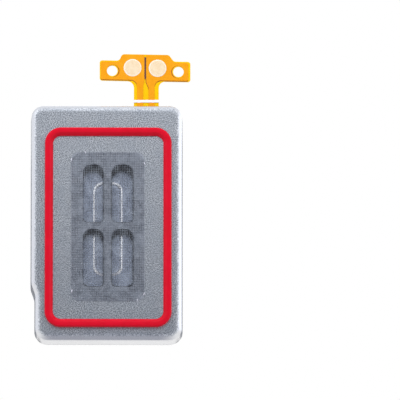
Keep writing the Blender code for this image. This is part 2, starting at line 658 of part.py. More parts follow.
def make_looks():
    return {
        "steel": new_material("bead_blasted_steel", (0.36, 0.38, 0.42), 0.38, 1.0),
        "rubber": new_material("red_silicone", (0.74, 0.010, 0.022), 0.45),
        "weave": new_material("woven_mesh", (0.10, 0.11, 0.13), 0.6, 0.4),
        "glue": new_material("clear_adhesive", (0.30, 0.31, 0.34), 0.5),
        "vent_film": new_material("blue_grey_film", (0.36, 0.44, 0.58), 0.4),
        "membrane": new_material("white_membrane", (0.80, 0.82, 0.86), 0.6),
        "foam": new_material("black_foam", (0.020, 0.022, 0.026), 0.8),
        "plastic": new_material("black_plastic", (0.03, 0.03, 0.035), 0.5),
        "pole": new_material("plated_iron", (0.45, 0.45, 0.46), 0.35, 1.0),
        "magnet": new_material("nickel_magnet", (0.50, 0.50, 0.52), 0.25, 1.0),
        "surround": new_material("black_elastomer", (0.02, 0.02, 0.022), 0.5),
        "dome": new_material("laminated_dome", (0.10, 0.12, 0.16), 0.4),
        "coil": new_material("enamelled_wire", (0.55, 0.20, 0.06), 0.35, 0.8),
        "copper": new_material("copper", (0.52, 0.09, 0.01), 0.4, 0.6),
        "gold": new_material("contact_gold", (0.90, 0.70, 0.48), 0.3, 0.8),
        "film": new_material("yellow_polyimide", (0.85, 0.42, 0.01), 0.35),
        "coverlay": new_material("orange_coverlay", (0.80, 0.32, 0.02), 0.35),
        "ink": new_material("white_ink", (0.82, 0.83, 0.88), 0.5),
        "granules": new_material("granules", (0.75, 0.72, 0.66), 0.9),
    }


def build_module():
    clear_scene()
    parts = new_collection("phone_loudspeaker_module")
    cutters = new_collection("cutters")
    looks = make_looks()
    slide = axis_empty("diaphragm_axis", (UNIT_X, DOME_Y[1], UNIT_Z), parts)
    hinge_place = (sum(STEM_X) / 2.0, sum(FLEX_Y) / 2.0, sum(FOLD_Z) / 2.0)
    hinge = axis_empty("flex_fold_axis", hinge_place, parts)

    build_front_can(parts, cutters, looks["steel"])
    build_rear_cover(parts, cutters, looks["steel"])
    build_vent(parts, looks["vent_film"], looks["membrane"])
    build_outlet(parts, looks["rubber"], looks["weave"], looks["glue"])
    build_basket(parts, cutters, looks)
    build_diaphragm(parts, cutters, slide, looks)
    build_magnet_circuit(parts, looks)
    build_granule_packs(parts, looks)
    build_flex_root(parts, looks)
    build_flex_head(parts, hinge, looks)
    build_flex_backing(parts, cutters, hinge, looks)


build_module()
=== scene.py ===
"""Looks of a phone loudspeaker module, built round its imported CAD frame.

Lengths are in metres in the row frame: the sound side faces -Y, +X is to the right and +Z is up.
"""

import json
import math
import random

import bmesh
import bpy
import numpy as np
from mathutils import Matrix, Vector


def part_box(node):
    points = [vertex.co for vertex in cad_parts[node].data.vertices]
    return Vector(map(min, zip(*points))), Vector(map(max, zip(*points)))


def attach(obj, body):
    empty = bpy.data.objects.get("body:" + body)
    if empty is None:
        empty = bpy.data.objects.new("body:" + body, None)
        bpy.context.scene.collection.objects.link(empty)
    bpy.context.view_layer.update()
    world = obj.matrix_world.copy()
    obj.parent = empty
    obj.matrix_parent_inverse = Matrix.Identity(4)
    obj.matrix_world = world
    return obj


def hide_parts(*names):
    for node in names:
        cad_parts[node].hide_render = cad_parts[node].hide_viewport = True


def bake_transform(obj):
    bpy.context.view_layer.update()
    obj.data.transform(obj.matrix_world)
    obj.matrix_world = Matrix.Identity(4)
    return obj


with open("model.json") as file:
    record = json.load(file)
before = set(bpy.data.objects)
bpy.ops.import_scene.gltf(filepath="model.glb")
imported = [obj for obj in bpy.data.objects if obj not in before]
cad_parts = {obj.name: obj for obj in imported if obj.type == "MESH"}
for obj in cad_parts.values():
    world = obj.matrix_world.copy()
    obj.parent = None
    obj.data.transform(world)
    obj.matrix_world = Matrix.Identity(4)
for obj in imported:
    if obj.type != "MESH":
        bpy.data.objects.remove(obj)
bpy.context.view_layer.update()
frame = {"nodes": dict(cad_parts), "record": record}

MM = 0.001
ARC_STEPS = 10
EDGE_STEPS = 8
FACE_STEPS = 12
SMOOTH_ANGLE = math.radians(38.0)
MODULE = "module"
HEAD = "flex_head"

# ---- driving sizes

CAN_LOW, CAN_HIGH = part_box("front_can")
COVER_LOW, COVER_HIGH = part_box("rear_cover")
CASE_HALF = CAN_HIGH.x
CASE_TOP = CAN_HIGH.z
CASE_CORNER = 1.4 * MM
CASE_EDGE = 0.6 * MM
CASE_WALL = 0.3 * MM
CASE_DRAFT = 0.1 * MM
FACE_EDGE = (0.78 * MM, 0.5 * MM)
NOTCH_DEPTH = 0.45 * MM
NOTCH_TOP = 6.5 * MM
NOTCH_FOOT = 5.2 * MM
NOTCH_BEND = 1.5 * MM

BAND_Y = 1.3 * MM
BAND_SIDE_STEP = 0.1 * MM
BAND_EDGE = 0.8 * MM
PLATEAU_Y = COVER_HIGH.y
RIDGE_FOOT_LOW = 2.8 * MM
RIDGE_CREST_LOW = 3.6 * MM
RIDGE_CREST_HIGH = 20.5 * MM
RIDGE_FOOT_HIGH = 22.1 * MM
CREST_SOFTNESS = 0.35 * MM
CREASE_SOFTNESS = 0.05 * MM

COVER_FINE = 0.09 * MM
COVER_COARSE = 0.35 * MM
COVER_MARGIN = 0.3 * MM
EXIT_GAP = 0.1 * MM

RECESS_X = 0.3 * MM
RECESS_Z = 6.0 * MM
RECESS_RADIUS = 2.65 * MM
RECESS_SLOPE = 0.95 * MM
RECESS_Y = 1.6 * MM
RECESS_LIP = 0.12 * MM

GASKET_WIDTH = 0.92 * MM
GASKET_CORNER = 1.8 * MM
GASKET_SHOULDER = 0.18 * MM
GASKET_SLOPE_START = 0.51 * MM
GASKET_FALL = 0.34 * MM

SLOT_COLUMNS = ((-2.61 * MM, -0.36 * MM), (0.60 * MM, 2.96 * MM))
SLOT_ROWS = ((6.17 * MM, 12.69 * MM), (13.55 * MM, 20.11 * MM))
SLOTS = [(column, row) for column in SLOT_COLUMNS for row in SLOT_ROWS]
SLOT_ARCH = 1.05 * MM
SLOT_FOOT = 0.5 * MM
PATCH_CORNER = 1.25 * MM
THREAD_PITCH = 0.194 * MM
THREAD_WIDTH = 0.04 * MM
THREAD_RISE = 0.02 * MM
THREAD_FRAY = 0.4
MESH_SAG = 0.03 * MM
MESH_SAG_RUN = 0.8 * MM
SLOT_SHADE_WIDTH = 0.07 * MM
# Sizes of the black plate that stands in for the shadow inside the slots.
SHADOW_PLATE_THICKNESS = 0.04 * MM
SHADOW_PLATE_OVERLAP = 0.07 * MM
SHADOW_PLATE_MARGIN = 0.6 * MM
SHADOW_PLATE_DROPS = (0.5 * MM, 0.68 * MM)

VENT_HOLE_RADIUS = 0.515 * MM
VENT_LIP = 0.05 * MM
VENT_BULGE = ((0.0, -0.03 * MM), (0.0, 0.02 * MM), (0.25 * MM, 0.05 * MM), (0.5 * MM, 0.06 * MM))

DOME_CORNER = 1.3 * MM
DOME_SKIN = 0.04 * MM
DOME_DEPTH = 0.10 * MM
EMBOSS_SIZE = (2.82 * MM, 10.26 * MM)
EMBOSS_CORNER = 0.85 * MM
EMBOSS_STATIONS = (-0.30 * MM, -0.12 * MM, -0.06 * MM, 0.0, 0.28 * MM)
EMBOSS_RISES = (0.0, -0.03 * MM, -0.02 * MM, 0.115 * MM, 0.0)

HEAD_LOW, HEAD_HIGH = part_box("flex_tail")
FILM_Y = (HEAD_LOW.y, HEAD_HIGH.y)
FILM_FOOT = 25.5 * MM
TRACK_FOOT = 26.0 * MM
STEM_X = (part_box("flex_root")[0].x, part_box("flex_root")[1].x)
FOLD_Z = (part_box("flex_fold")[0].z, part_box("flex_fold")[1].z)
FOLD_MIDDLE = sum(FOLD_Z) / 2.0
BEND_REACH = 0.4 * MM
STEM_MIDDLE = sum(STEM_X) / 2.0
HEAD_FOOT = 30.38 * MM
EAR_TOP = 32.72 * MM
HUMP_FOOT_X = (1.42 * MM, 7.55 * MM)
HUMP_TOP_X = (1.7 * MM, 7.0 * MM)
HEAD_LEAN = 0.0175
HEAD_FILLET = 0.75 * MM
EAR_CORNER = 0.3 * MM
HUMP_CORNER = 0.45 * MM
HOLES = ((0.60 * MM, 31.6 * MM), (8.08 * MM, 31.48 * MM))
HOLE_RADIUS = 0.6 * MM
POUR_GAP_RADIUS = 0.72 * MM
HOLE_SHADOW = 0.1 * MM
SPLIT_X = (4.23 * MM, 4.44 * MM)
TRACES = ((3.42 * MM, 4.10 * MM), (4.70 * MM, 5.38 * MM))
# How far each of the flex's thin layers lies from its film, negative in front of it.
LAYERS = {
    "copper_edge_shade": (-0.02 * MM, -0.004 * MM), "copper_area": (-0.045 * MM, -0.021 * MM),
    "groove": (-0.03 * MM, -0.022 * MM), "front_ink": (-0.06 * MM, -0.046 * MM),
    "back_film": (0.004 * MM, 0.014 * MM), "back_cap": (0.004 * MM, 0.018 * MM),
    "back_track": (0.004 * MM, 0.03 * MM), "back_ink": (0.032 * MM, 0.046 * MM)}
PAD_DEPTH = 0.022 * MM
PAD_RIM = 0.13 * MM

FOAM_LIFT = 0.22 * MM
FOAM_SHOULDER = 0.75 * MM
FOAM_CORNER = 0.2 * MM
FOAM_HOLE_RADIUS = 0.88 * MM
FOAM_VOXEL = 0.07 * MM
FOAM_DENTS = 40
FOAM_DENT_LIMIT = 0.2 * MM


# ---- colours and materials

FILM_ROUGHNESS = 0.36


def linear(code):
    """Linear colour of an sRGB hex code."""
    channels = []
    for shift in (16, 8, 0):
        value = ((code >> shift) & 255) / 255.0
        channels.append(value / 12.92 if value <= 0.04045 else ((value + 0.055) / 1.055) ** 2.4)
    return (*channels, 1.0)


class Graph:
    """Short ways to add nodes to a material's or the world's node tree."""

    def __init__(self, tree):
        self.tree = tree

    def add(self, kind):
        return self.tree.nodes.new("ShaderNode" + kind)

    def link(self, output, socket):
        self.tree.links.new(output, socket)

    def feed(self, value, socket):
        """Link an output to a socket, or set the socket to a plain value."""
        if isinstance(value, bpy.types.NodeSocket):
            self.link(value, socket)
        else:
            socket.default_value = value

    def split(self, vector):
        """The X, Y and Z outputs of a vector."""
        node = self.add("SeparateXYZ")
        self.link(vector, node.inputs["Vector"])
        return [node.outputs[axis] for axis in "XYZ"]

    def math(self, operation, first, second=0.0):
        node = self.add("Math")
        node.operation = operation
        self.feed(first, node.inputs[0])
        self.feed(second, node.inputs[1])
        return node.outputs[0]

    def remap(self, value, low, high, to_low=0.0, to_high=1.0, smooth=False):
        """Move the range from low to high onto another range, held at its ends."""
        node = self.add("MapRange")
        node.interpolation_type = "SMOOTHSTEP" if smooth else "LINEAR"
        self.link(value, node.inputs["Value"])
        names = ("From Min", "From Max", "To Min", "To Max")
        for name, number in zip(names, (low, high, to_low, to_high)):
            node.inputs[name].default_value = number
        return node.outputs["Result"]

    def blend(self, factor, first, second):
        """Colour between two, each a hex code, three linear channels or a colour output."""
        node = self.add("Mix")
        node.data_type = "RGBA"
        self.link(factor, node.inputs[0])
        for socket, colour in ((node.inputs[6], first), (node.inputs[7], second)):
            if isinstance(colour, int):
                colour = linear(colour)
            elif isinstance(colour, tuple):
                colour = (*colour, 1.0)
            self.feed(colour, socket)
        return node.outputs[2]

    def mix_shaders(self, factor, first, second):
        node = self.add("MixShader")
        for output, socket in zip((factor, first.outputs[0], second.outputs[0]), node.inputs):
            self.link(output, socket)
        return node


class Look(Graph):
    """A Principled material whose patterns are laid out in millimetres on the piece."""

    def __init__(self, name, colour, roughness, metallic=0.0, **sockets):
        self.material = bpy.data.materials.new(name)
        self.material.use_nodes = True
        super().__init__(self.material.node_tree)
        self.shader = self.tree.nodes["Principled BSDF"]
        values = {"Base_Color": linear(colour), "Roughness": roughness, "Metallic": metallic, **sockets}
        for socket, value in values.items():
            self.shader.inputs[socket.replace("_", " ")].default_value = value
        mapping = self.add("Mapping")
        mapping.inputs["Scale"].default_value = (1.0 / MM,) * 3
        self.link(self.add("TexCoord").outputs["Object"], mapping.inputs["Vector"])
        self.place = mapping.outputs["Vector"]

    def noise(self, size, detail=2.0):
        """Noise from 0 to 1 whose features are about size millimetres across."""
        node = self.add("TexNoise")
        node.inputs["Scale"].default_value = 1.0 / size
        node.inputs["Detail"].default_value = detail
        self.link(self.place, node.inputs["Vector"])
        return node.outputs["Fac"]

    def patches(self, size, to_low=0.0, to_high=1.0, span=(0.3, 0.7), detail=2.0):
        """Noise whose middle span is stretched over another range."""
        return self.remap(self.noise(size, detail), *span, to_low, to_high)

    def cells(self, size):
        """Distance from the nearest of many scattered points."""
        node = self.add("TexVoronoi")
        node.inputs["Scale"].default_value = 1.0 / size
        self.link(self.place, node.inputs["Vector"])
        return node.outputs["Distance"]

    def facing(self):
        """How squarely the surface faces along Y, from 0 to 1."""
        return self.math("ABSOLUTE", self.split(self.add("NewGeometry").outputs["Normal"])[1])

    def colour(self, output):
        self.link(output, self.shader.inputs["Base Color"])

    def roughness(self, output):
        self.link(output, self.shader.inputs["Roughness"])

    def bump(self, height, depth):
        """Relief of that many millimetres between height 0 and 1."""
        node = self.add("Bump")
        node.inputs["Distance"].default_value = depth * MM
        self.link(height, node.inputs["Height"])
        self.link(node.outputs["Normal"], self.shader.inputs["Normal"])


def mottled(name, first, second, size, roughness, metallic=0.0, depth=0.01):
    """Two close colours in soft patches, with a fine grain in the surface."""
    look = Look(name, first, roughness, metallic)
    grain = look.noise(size)
    look.colour(look.blend(look.remap(grain, 0.35, 0.65), first, second))
    look.roughness(look.patches(size * 2.5, roughness * 0.85, roughness * 1.15))
    look.bump(grain, depth)
    return look.material


def steel_look():
    """Bead-blasted steel: a fine orange-peel grain on the flats, worn smooth where it curves."""
    look = Look("bead_blasted_steel", 0xC6CAD2, 0.36, 1.0)
    flat = look.remap(look.facing(), 0.86, 0.99)
    grain = look.noise(0.11)
    fine = look.blend(look.remap(grain, 0.34, 0.66), 0x636B77, 0xEBF0F7)
    clouded = look.blend(look.patches(1.4, 0.0, 0.3), fine, 0xA2ACBA)
    look.colour(look.blend(flat, 0xC9CCD2, clouded))
    worn = look.remap(flat, 0.0, 1.0, 0.25, 0.33)
    look.roughness(look.math("ADD", worn, look.patches(0.4, 0.0, 0.06)))
    look.bump(look.math("MULTIPLY", grain, flat), 0.011)
    return look.material


def rubber_look():
    """Red silicone with a soft sheen."""
    look = Look("red_silicone", 0xE0102A, 0.42, Specular_IOR_Level=0.16)
    look.colour(look.blend(look.patches(1.1), 0xC80020, 0xD20026))
    look.roughness(look.patches(0.3, 0.36, 0.5))
    look.bump(look.noise(0.12), 0.003)
    return look.material


def weave_look():
    """Dark fine wire with brighter patches where it was rubbed."""
    look = Look("woven_wire", 0x5A5F69, 0.4, 0.3)
    wire = look.blend(look.patches(0.2, span=(0.35, 0.65)), 0x484D57, 0x6C737F)
    look.colour(look.blend(look.patches(0.9, span=(0.42, 0.62), detail=3.0), wire, 0x8A929E))
    look.roughness(look.patches(0.3, 0.32, 0.5))
    look.bump(look.noise(0.05), 0.002)
    return look.material


def film_look(name, first, second):
    """Smooth plastic film in one of the flex's colours."""
    look = Look(name, first, FILM_ROUGHNESS, Specular_IOR_Level=0.12)
    look.colour(look.blend(look.patches(0.9), first, second))
    look.roughness(look.patches(0.5, FILM_ROUGHNESS * 0.8, FILM_ROUGHNESS * 1.3))
    look.bump(look.noise(0.35), 0.003)
    return look.material


def dome_look():
    """Laminated metal foil: a satin skin, with white, fully metallic foil painted where the embossed line
    slopes, as its highlight.
    """
    look = Look("laminated_foil", 0xEAF0FC, 0.3, 0.4)
    # Painted highlight: where the embossed line slopes the foil turns white and fully metallic.
    slope = look.remap(look.facing(), 0.90, 0.98, 1.0, 0.0)
    look.colour(look.blend(slope, look.blend(look.patches(0.3), 0xB6C2DA, 0xC2CCE2), 0xFFFFFF))
    look.link(look.remap(slope, 0.0, 1.0, 0.4, 1.0), look.shader.inputs["Metallic"])
    look.roughness(look.patches(0.5, 0.24, 0.30))
    look.bump(look.noise(0.3), 0.001)
    return look.material


def foam_look():
    """Black foam under a torn film skin: blue-grey patches and a few painted glints."""
    look = Look("black_foam", 0x2A2C33, 0.75)
    pores = look.cells(0.16)
    skin = look.blend(look.remap(pores, 0.1, 0.7), 0x0C0D11, 0x2C2F38)
    patched = look.blend(look.patches(0.8, span=(0.50, 0.66), detail=4.0), skin, 0x464D5B)
    # Painted glints: scattered near-white specks in the foam's colour.
    painted_glints = look.math("MULTIPLY", look.patches(0.13, span=(0.60, 0.68), detail=3.0),
                       look.patches(1.6, span=(0.46, 0.58)))
    look.colour(look.blend(painted_glints, patched, 0xC8CED8))
    look.roughness(look.patches(0.3, 0.45, 0.9))
    look.bump(pores, 0.05)
    return look.material


LOOKS = {
    "steel": steel_look(),
    "rubber": rubber_look(),
    "weave": weave_look(),
    "foam": foam_look(),
    "film": film_look("yellow_polyimide", 0xF2C400, 0xEDBA00),
    "coverlay": film_look("orange_coverlay", 0xEC9F18, 0xE6960E),
    # Painted shade: brown along the copper areas' feet and round their holes.
    "painted_edge_shade": film_look("copper_edge_shade", 0xA8552E, 0x8F4526),
    "split": film_look("split_line", 0x6B4A45, 0x564040),
    "ink": mottled("white_ink", 0xF2F3FF, 0xE8EAF8, 0.2, 0.5, depth=0.003),
    "copper": film_look("copper_under_film", 0xC04A06, 0xB04004),
    "gold": mottled("pale_gold", 0xEDD9BA, 0xE8D0AC, 0.5, 0.4, 0.1, depth=0.003),
    # Painted highlight: the pale rim round each pad.
    "pad_rim": mottled("pad_rim_highlight", 0xF6EADA, 0xF2E4D0, 0.4, 0.3, 0.1, depth=0.002),
    "vent_film": mottled("blue_grey_film", 0x9AABC4, 0x92A4BE, 0.7, 0.35, depth=0.002),
    "membrane": mottled("breathing_membrane", 0xDFE3EC, 0xD2D8E4, 0.08, 0.7, depth=0.004),
    "glue": mottled("adhesive_film", 0xBCC2CE, 0xA6ADBA, 0.3, 0.34, 0.9),
    "plastic": mottled("black_plastic", 0x1C1D20, 0x24262A, 0.3, 0.5),
    "pole": mottled("plated_iron", 0xB4B5B8, 0xA5A7AB, 0.3, 0.35, 1.0),
    "magnet": mottled("nickel_magnet", 0xC2C1BE, 0xB4B4B2, 0.4, 0.25, 1.0),
    "surround": mottled("black_elastomer", 0x202226, 0x2A2C30, 0.4, 0.5),
    "dome": dome_look(),
    # Painted shade: the dark line round each slot's edge.
    "slot_shade": mottled("slot_edge_shade", 0x3A3F49, 0x4C525E, 0.2, 0.45),
    # Painted shadow: the black plate seen at the slots' tops and right sides.
    "slot_shadow": mottled("slot_shadow_plate", 0x17181C, 0x24262B, 0.4, 0.6),
    "coil": mottled("enamelled_wire", 0xB86A34, 0x9A5222, 0.1, 0.35, 0.8, depth=0.02),
    "granules": mottled("granules", 0xE6E0D4, 0xC9C2B4, 0.3, 0.9, depth=0.1),
}


# ---- outlines

def rounded_outline(corners, steps=ARC_STEPS):
    """Closed outline through (u, v, radius) corners, each turned with an arc of that radius."""
    outline = []
    for index, (u, v, radius) in enumerate(corners):
        corner = Vector((u, v))
        if radius <= 0.0:
            outline.append(corner)
            continue
        following = corners[(index + 1) % len(corners)]
        before = (Vector(corners[index - 1][:2]) - corner).normalized()
        after = (Vector(following[:2]) - corner).normalized()
        half_angle = before.angle(after) / 2.0
        reach = radius / math.tan(half_angle)
        centre = corner + (before + after).normalized() * (radius / math.sin(half_angle))
        start = corner + before * reach - centre
        end = corner + after * reach - centre
        first = math.atan2(start.y, start.x)
        turn = (math.atan2(end.y, end.x) - first + math.pi) % math.tau - math.pi
        for step in range(steps + 1):
            angle = first + turn * step / steps
            outline.append(centre + Vector((math.cos(angle), math.sin(angle))) * radius)
    return outline


def rectangle_outline(low, high, radius, inset=0.0, steps=ARC_STEPS):
    """Rounded rectangle between two (x, z) corners, drawn in by an inset."""
    left, foot, right, top = low[0] + inset, low[1] + inset, high[0] - inset, high[1] - inset
    corner = max(radius - inset, 0.02 * MM)
    return rounded_outline(((left, foot, corner), (right, foot, corner), (right, top, corner),
                            (left, top, corner)), steps)


def circle_outline(centre, radius, sides=64):
    turns = (math.tau * side / sides for side in range(sides))
    return [Vector((centre[0] + radius * math.cos(turn), centre[1] + radius * math.sin(turn)))
            for turn in turns]


def case_outline(inset, lift=0.0):
    """Outline of the case, with the step in its lower left side; its top may be lifted."""
    left, right = -CASE_HALF + inset, CASE_HALF - inset
    notch, low, high = left + NOTCH_DEPTH, inset, CASE_TOP - inset + lift
    corner = CASE_CORNER - inset
    return rounded_outline((
        (notch, low, corner), (right, low, corner), (right, high, corner), (left, high, corner),
        (left, NOTCH_TOP, NOTCH_BEND), (notch, NOTCH_FOOT, NOTCH_BEND)))


def slot_outline(column, row, grow=0.0, drop=0.0):
    """Slot with an arched top and rounded feet, grown by a margin and moved down."""
    left, right = column[0] - grow, column[1] + grow
    low, high = row[0] - grow - drop, row[1] + grow - drop
    return rounded_outline((
        (left, low, SLOT_FOOT), (right, low, SLOT_FOOT), (right, high, SLOT_ARCH), (left, high, SLOT_ARCH)))


# ---- meshes and pieces

def new_object(name, mesh):
    piece = bpy.data.objects.new(name, mesh)
    bpy.context.scene.collection.objects.link(piece)
    return piece


def shaped_object(name, shaper):
    """Object from a bmesh, which is freed."""
    mesh = bpy.data.meshes.new(name)
    shaper.to_mesh(mesh)
    shaper.free()
    return new_object(name, mesh)


def listed_object(name, points, faces):
    """Object from a list of points and a list of faces."""
    mesh = bpy.data.meshes.new(name)
    mesh.from_pydata(points, [], faces)
    return new_object(name, mesh)


def loft(name, rings, looped=False, cap_first=False, cap_last=False):
    """Skin through closed rings of points, all with the same number of points."""
    shaper = bmesh.new()
    rows = [[shaper.verts.new(point) for point in ring] for ring in rings]
    pairs = list(zip(rows, rows[1:]))
    if looped:
        pairs.append((rows[-1], rows[0]))
    count = len(rows[0])
    for row, following in pairs:
        for index in range(count):
            after = (index + 1) % count
            shaper.faces.new((row[index], row[after], following[after], following[index]))
    if cap_first:
        shaper.faces.new(rows[0])
    if cap_last:
        shaper.faces.new(rows[-1])
    bmesh.ops.recalc_face_normals(shaper, faces=shaper.faces)
    return shaped_object(name, shaper)


def raise_outline(outline, y):
    return [Vector((point.x, y, point.y)) for point in outline]


def slab(name, outline, y_range):
    """Solid plate between two Y planes."""
    return loft(name, [raise_outline(outline, y_range[0]), raise_outline(outline, y_range[1])],
                cap_first=True, cap_last=True)


def swept_band(name, outline_at, profile):
    """Closed band whose section (inset, y) runs round an outline."""
    return loft(name, [raise_outline(outline_at(inset), y) for inset, y in profile], looped=True)


def grid_surface(name, points, flip=False):
    """Open surface through rows of points."""
    rows, columns = len(points), len(points[0])
    faces = []
    for row in range(rows - 1):
        for column in range(columns - 1):
            corner = row * columns + column
            face = (corner, corner + 1, corner + columns + 1, corner + columns)
            faces.append(face[::-1] if flip else face)
    return listed_object(name, [point for row in points for point in row], faces)


def flat_layer(name, points, y_range):
    """Film through rows of points that lie on its front plane."""
    layer = grid_surface(name, points)
    thicken(layer, y_range[1] - y_range[0])
    return layer


def cut(piece, cutter):
    """Take the cutter's volume out of a piece, and delete the cutter."""
    modify(piece, "BOOLEAN", operation="DIFFERENCE", solver="EXACT", object=cutter)
    bpy.data.objects.remove(cutter)


def thicken(piece, thickness):
    """Give a surface its wall, on the side away from its normals."""
    modify(piece, "SOLIDIFY", thickness=thickness, offset=-1.0)


def modify(piece, kind, **settings):
    """Put a modifier with these settings on a piece and apply it."""
    modifier = piece.modifiers.new(kind.lower(), kind)
    for name, value in settings.items():
        setattr(modifier, name, value)
    depsgraph = bpy.context.evaluated_depsgraph_get()
    depsgraph.update()
    mesh = bpy.data.meshes.new_from_object(piece.evaluated_get(depsgraph))
    piece.modifiers.clear()
    piece.data = mesh


def dress(piece, look, body=MODULE, replaces=()):
    """Give a finished piece its material and shading, and hang it on its body, or for the fold bake its
    place into its points.
    """
    piece.data.materials.clear()
    piece.data.materials.append(LOOKS[look])
    piece.data.shade_smooth()
    piece.data.set_sharp_from_angle(angle=SMOOTH_ANGLE)
    if body == "fold":
        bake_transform(piece)
    else:
        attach(piece, body)
    if replaces:
        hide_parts(*replaces)
    return piece


# ---- case

def quarter(steps=EDGE_STEPS):
    """(inward, outward) shares of a quarter round, from its start on the side wall to the face."""
    return [(1.0 - math.cos(math.pi / 2.0 * step / steps), 1.0 - math.sin(math.pi / 2.0 * step / steps))
            for step in range(steps + 1)]


def build_front_can():
    """Front shell with its drafted walls, softly rounded face and four slots."""
    front = CAN_LOW.y
    rings = [raise_outline(case_outline(0.0), CAN_HIGH.y)]
    for inward, outward in quarter(FACE_STEPS):
        inset, y = CASE_DRAFT + FACE_EDGE[0] * inward, front + FACE_EDGE[1] * outward
        rings.append(raise_outline(case_outline(inset, CASE_DRAFT), y))
    can = loft("front_can_shell", rings, cap_last=True)
    thicken(can, CASE_WALL)
    for column, row in SLOTS:
        cut(can, slab("slot", slot_outline(column, row), (front - CASE_WALL, front + 2.0 * CASE_WALL)))
    # Flat faces keep flat shading beside the rounded edges.
    can.modifiers.new("even_normals", "WEIGHTED_NORMAL").keep_sharp = True
    dress(can, "steel", replaces=["front_can"])


def smooth_step(value, low, high):
    share = np.clip((value - low) / (high - low), 0.0, 1.0)
    return share * share * (3.0 - 2.0 * share)


def soft_minimum(first, second, softness):
    share = np.clip(0.5 + 0.5 * (second - first) / softness, 0.0, 1.0)
    return second * (1.0 - share) + first * share - softness * share * (1.0 - share)


def soft_maximum(first, second, softness):
    return -soft_minimum(-first, -second, softness)


def corner_step(z):
    """How far the rounded corners draw the sides in at this height."""
    from_end = np.minimum(z, CASE_TOP - z)
    short = np.clip(CASE_CORNER - from_end, 0.0, CASE_CORNER)
    return CASE_CORNER - np.sqrt(np.maximum(CASE_CORNER ** 2 - short ** 2, 0.0))


def plateau_share(z):
    return (smooth_step(z, RIDGE_FOOT_LOW, RIDGE_CREST_LOW)
            * (1.0 - smooth_step(z, RIDGE_CREST_HIGH, RIDGE_FOOT_HIGH)))


def cover_sides(z):
    """Left and right limits of the rear cover at this height."""
    inset = BAND_SIDE_STEP * (1.0 - plateau_share(z)) + corner_step(z)
    notch = NOTCH_DEPTH * (1.0 - smooth_step(z, NOTCH_FOOT - 0.25 * MM, NOTCH_TOP + 0.25 * MM))
    return -CASE_HALF + inset + notch, CASE_HALF - inset


def cover_height(x, z):
    """Rear face before its outer edges are rounded: bands, sloped plateau and the vent's recess."""
    rise_low = (PLATEAU_Y - BAND_Y) / (RIDGE_CREST_LOW - RIDGE_FOOT_LOW)
    rise_high = (PLATEAU_Y - BAND_Y) / (RIDGE_FOOT_HIGH - RIDGE_CREST_HIGH)
    slope = np.minimum(BAND_Y + (z - RIDGE_FOOT_LOW) * rise_low, BAND_Y + (RIDGE_FOOT_HIGH - z) * rise_high)
    ridge = soft_minimum(slope, PLATEAU_Y, CREST_SOFTNESS)
    across = x - RECESS_X
    radius = np.where(z > RECESS_Z, np.hypot(across, z - RECESS_Z), np.abs(across))
    wall = RECESS_Y + (radius - RECESS_RADIUS) * (PLATEAU_Y - RECESS_Y) / RECESS_SLOPE
    recess = soft_maximum(wall, RECESS_Y, RECESS_LIP)
    return soft_maximum(soft_minimum(ridge, recess, RECESS_LIP), BAND_Y, CREASE_SOFTNESS)


def stations(stretches):
    """Positions along a line from (end, step) stretches; the first entry is (start, None)."""
    places = [stretches[0][0]]
    for end, step in stretches[1:]:
        start = places[-1]
        count = max(1, round(abs(end - start) / step))
        places.extend(start + (end - start) * (index + 1) / count for index in range(count))
    return places


def build_rear_cover():
    """Rear shell, with its points closer together where the plateau and the recess slope."""
    recess = RECESS_RADIUS + RECESS_SLOPE + COVER_MARGIN
    edge = [BAND_EDGE * inward for inward, _ in quarter()]
    rows = edge[:-1] + stations((
        (BAND_EDGE, None), (RIDGE_FOOT_LOW - COVER_MARGIN, COVER_COARSE),
        (RECESS_Z + recess + COVER_MARGIN, COVER_FINE), (RIDGE_CREST_HIGH - 0.8 * MM, COVER_COARSE),
        (RIDGE_FOOT_HIGH + COVER_MARGIN, COVER_FINE), (CASE_TOP - BAND_EDGE, COVER_COARSE)))
    rows += [CASE_TOP - inset for inset in edge[-2::-1]]
    inner = CASE_HALF - CASE_EDGE
    columns = stations(((-inner, None), (RECESS_X - recess, COVER_COARSE), (RECESS_X + recess, COVER_FINE),
                        (inner, COVER_COARSE)))
    shares = [(column + inner) / (2.0 * inner) for column in columns]
    cover = grid_surface("rear_cover_shell", [cover_row(z, shares) for z in rows], flip=True)
    close_sides(cover, COVER_LOW.y)
    thicken(cover, CASE_WALL)
    exit_slot = rectangle_outline((STEM_X[0] - EXIT_GAP, CASE_TOP - 2.0 * CASE_WALL),
                                  (STEM_X[1] + EXIT_GAP, CASE_TOP + CASE_WALL), EXIT_GAP)
    cut(cover, slab("flex_exit", exit_slot, (COVER_LOW.y - CASE_WALL, FILM_Y[1] + EXIT_GAP)))
    dress(cover, "steel", replaces=["rear_cover"])


def cover_row(z, shares):
    """One row of the rear face: rounded left edge, flat middle, rounded right edge."""
    left, right = cover_sides(z)
    radius = CASE_EDGE + (BAND_EDGE - CASE_EDGE) * (1.0 - plateau_share(z))
    insets = [radius * inward for inward, _ in quarter()]
    xs = [left + inset for inset in insets[:-1]]
    xs += [left + radius + (right - left - 2.0 * radius) * share for share in shares]
    xs += [right - inset for inset in insets[-2::-1]]
    x = np.array(xs)
    straight_left = left - corner_step(z)
    straight_right = right + corner_step(z)
    from_side = np.minimum(x - straight_left, straight_right - x)
    from_end = min(z, CASE_TOP - z)
    inside = np.minimum(from_side, from_end)
    in_corner = (from_side < CASE_CORNER) & (from_end < CASE_CORNER)
    reach = np.hypot(CASE_CORNER - from_side, CASE_CORNER - from_end)
    inside = np.where(in_corner, CASE_CORNER - reach, inside)
    short = np.clip(radius - inside, 0.0, radius)
    drop = radius - np.sqrt(np.maximum(radius ** 2 - short ** 2, 0.0))
    y = cover_height(x, np.full_like(x, z)) - drop
    return [(float(a), float(b), z) for a, b in zip(x, y)]


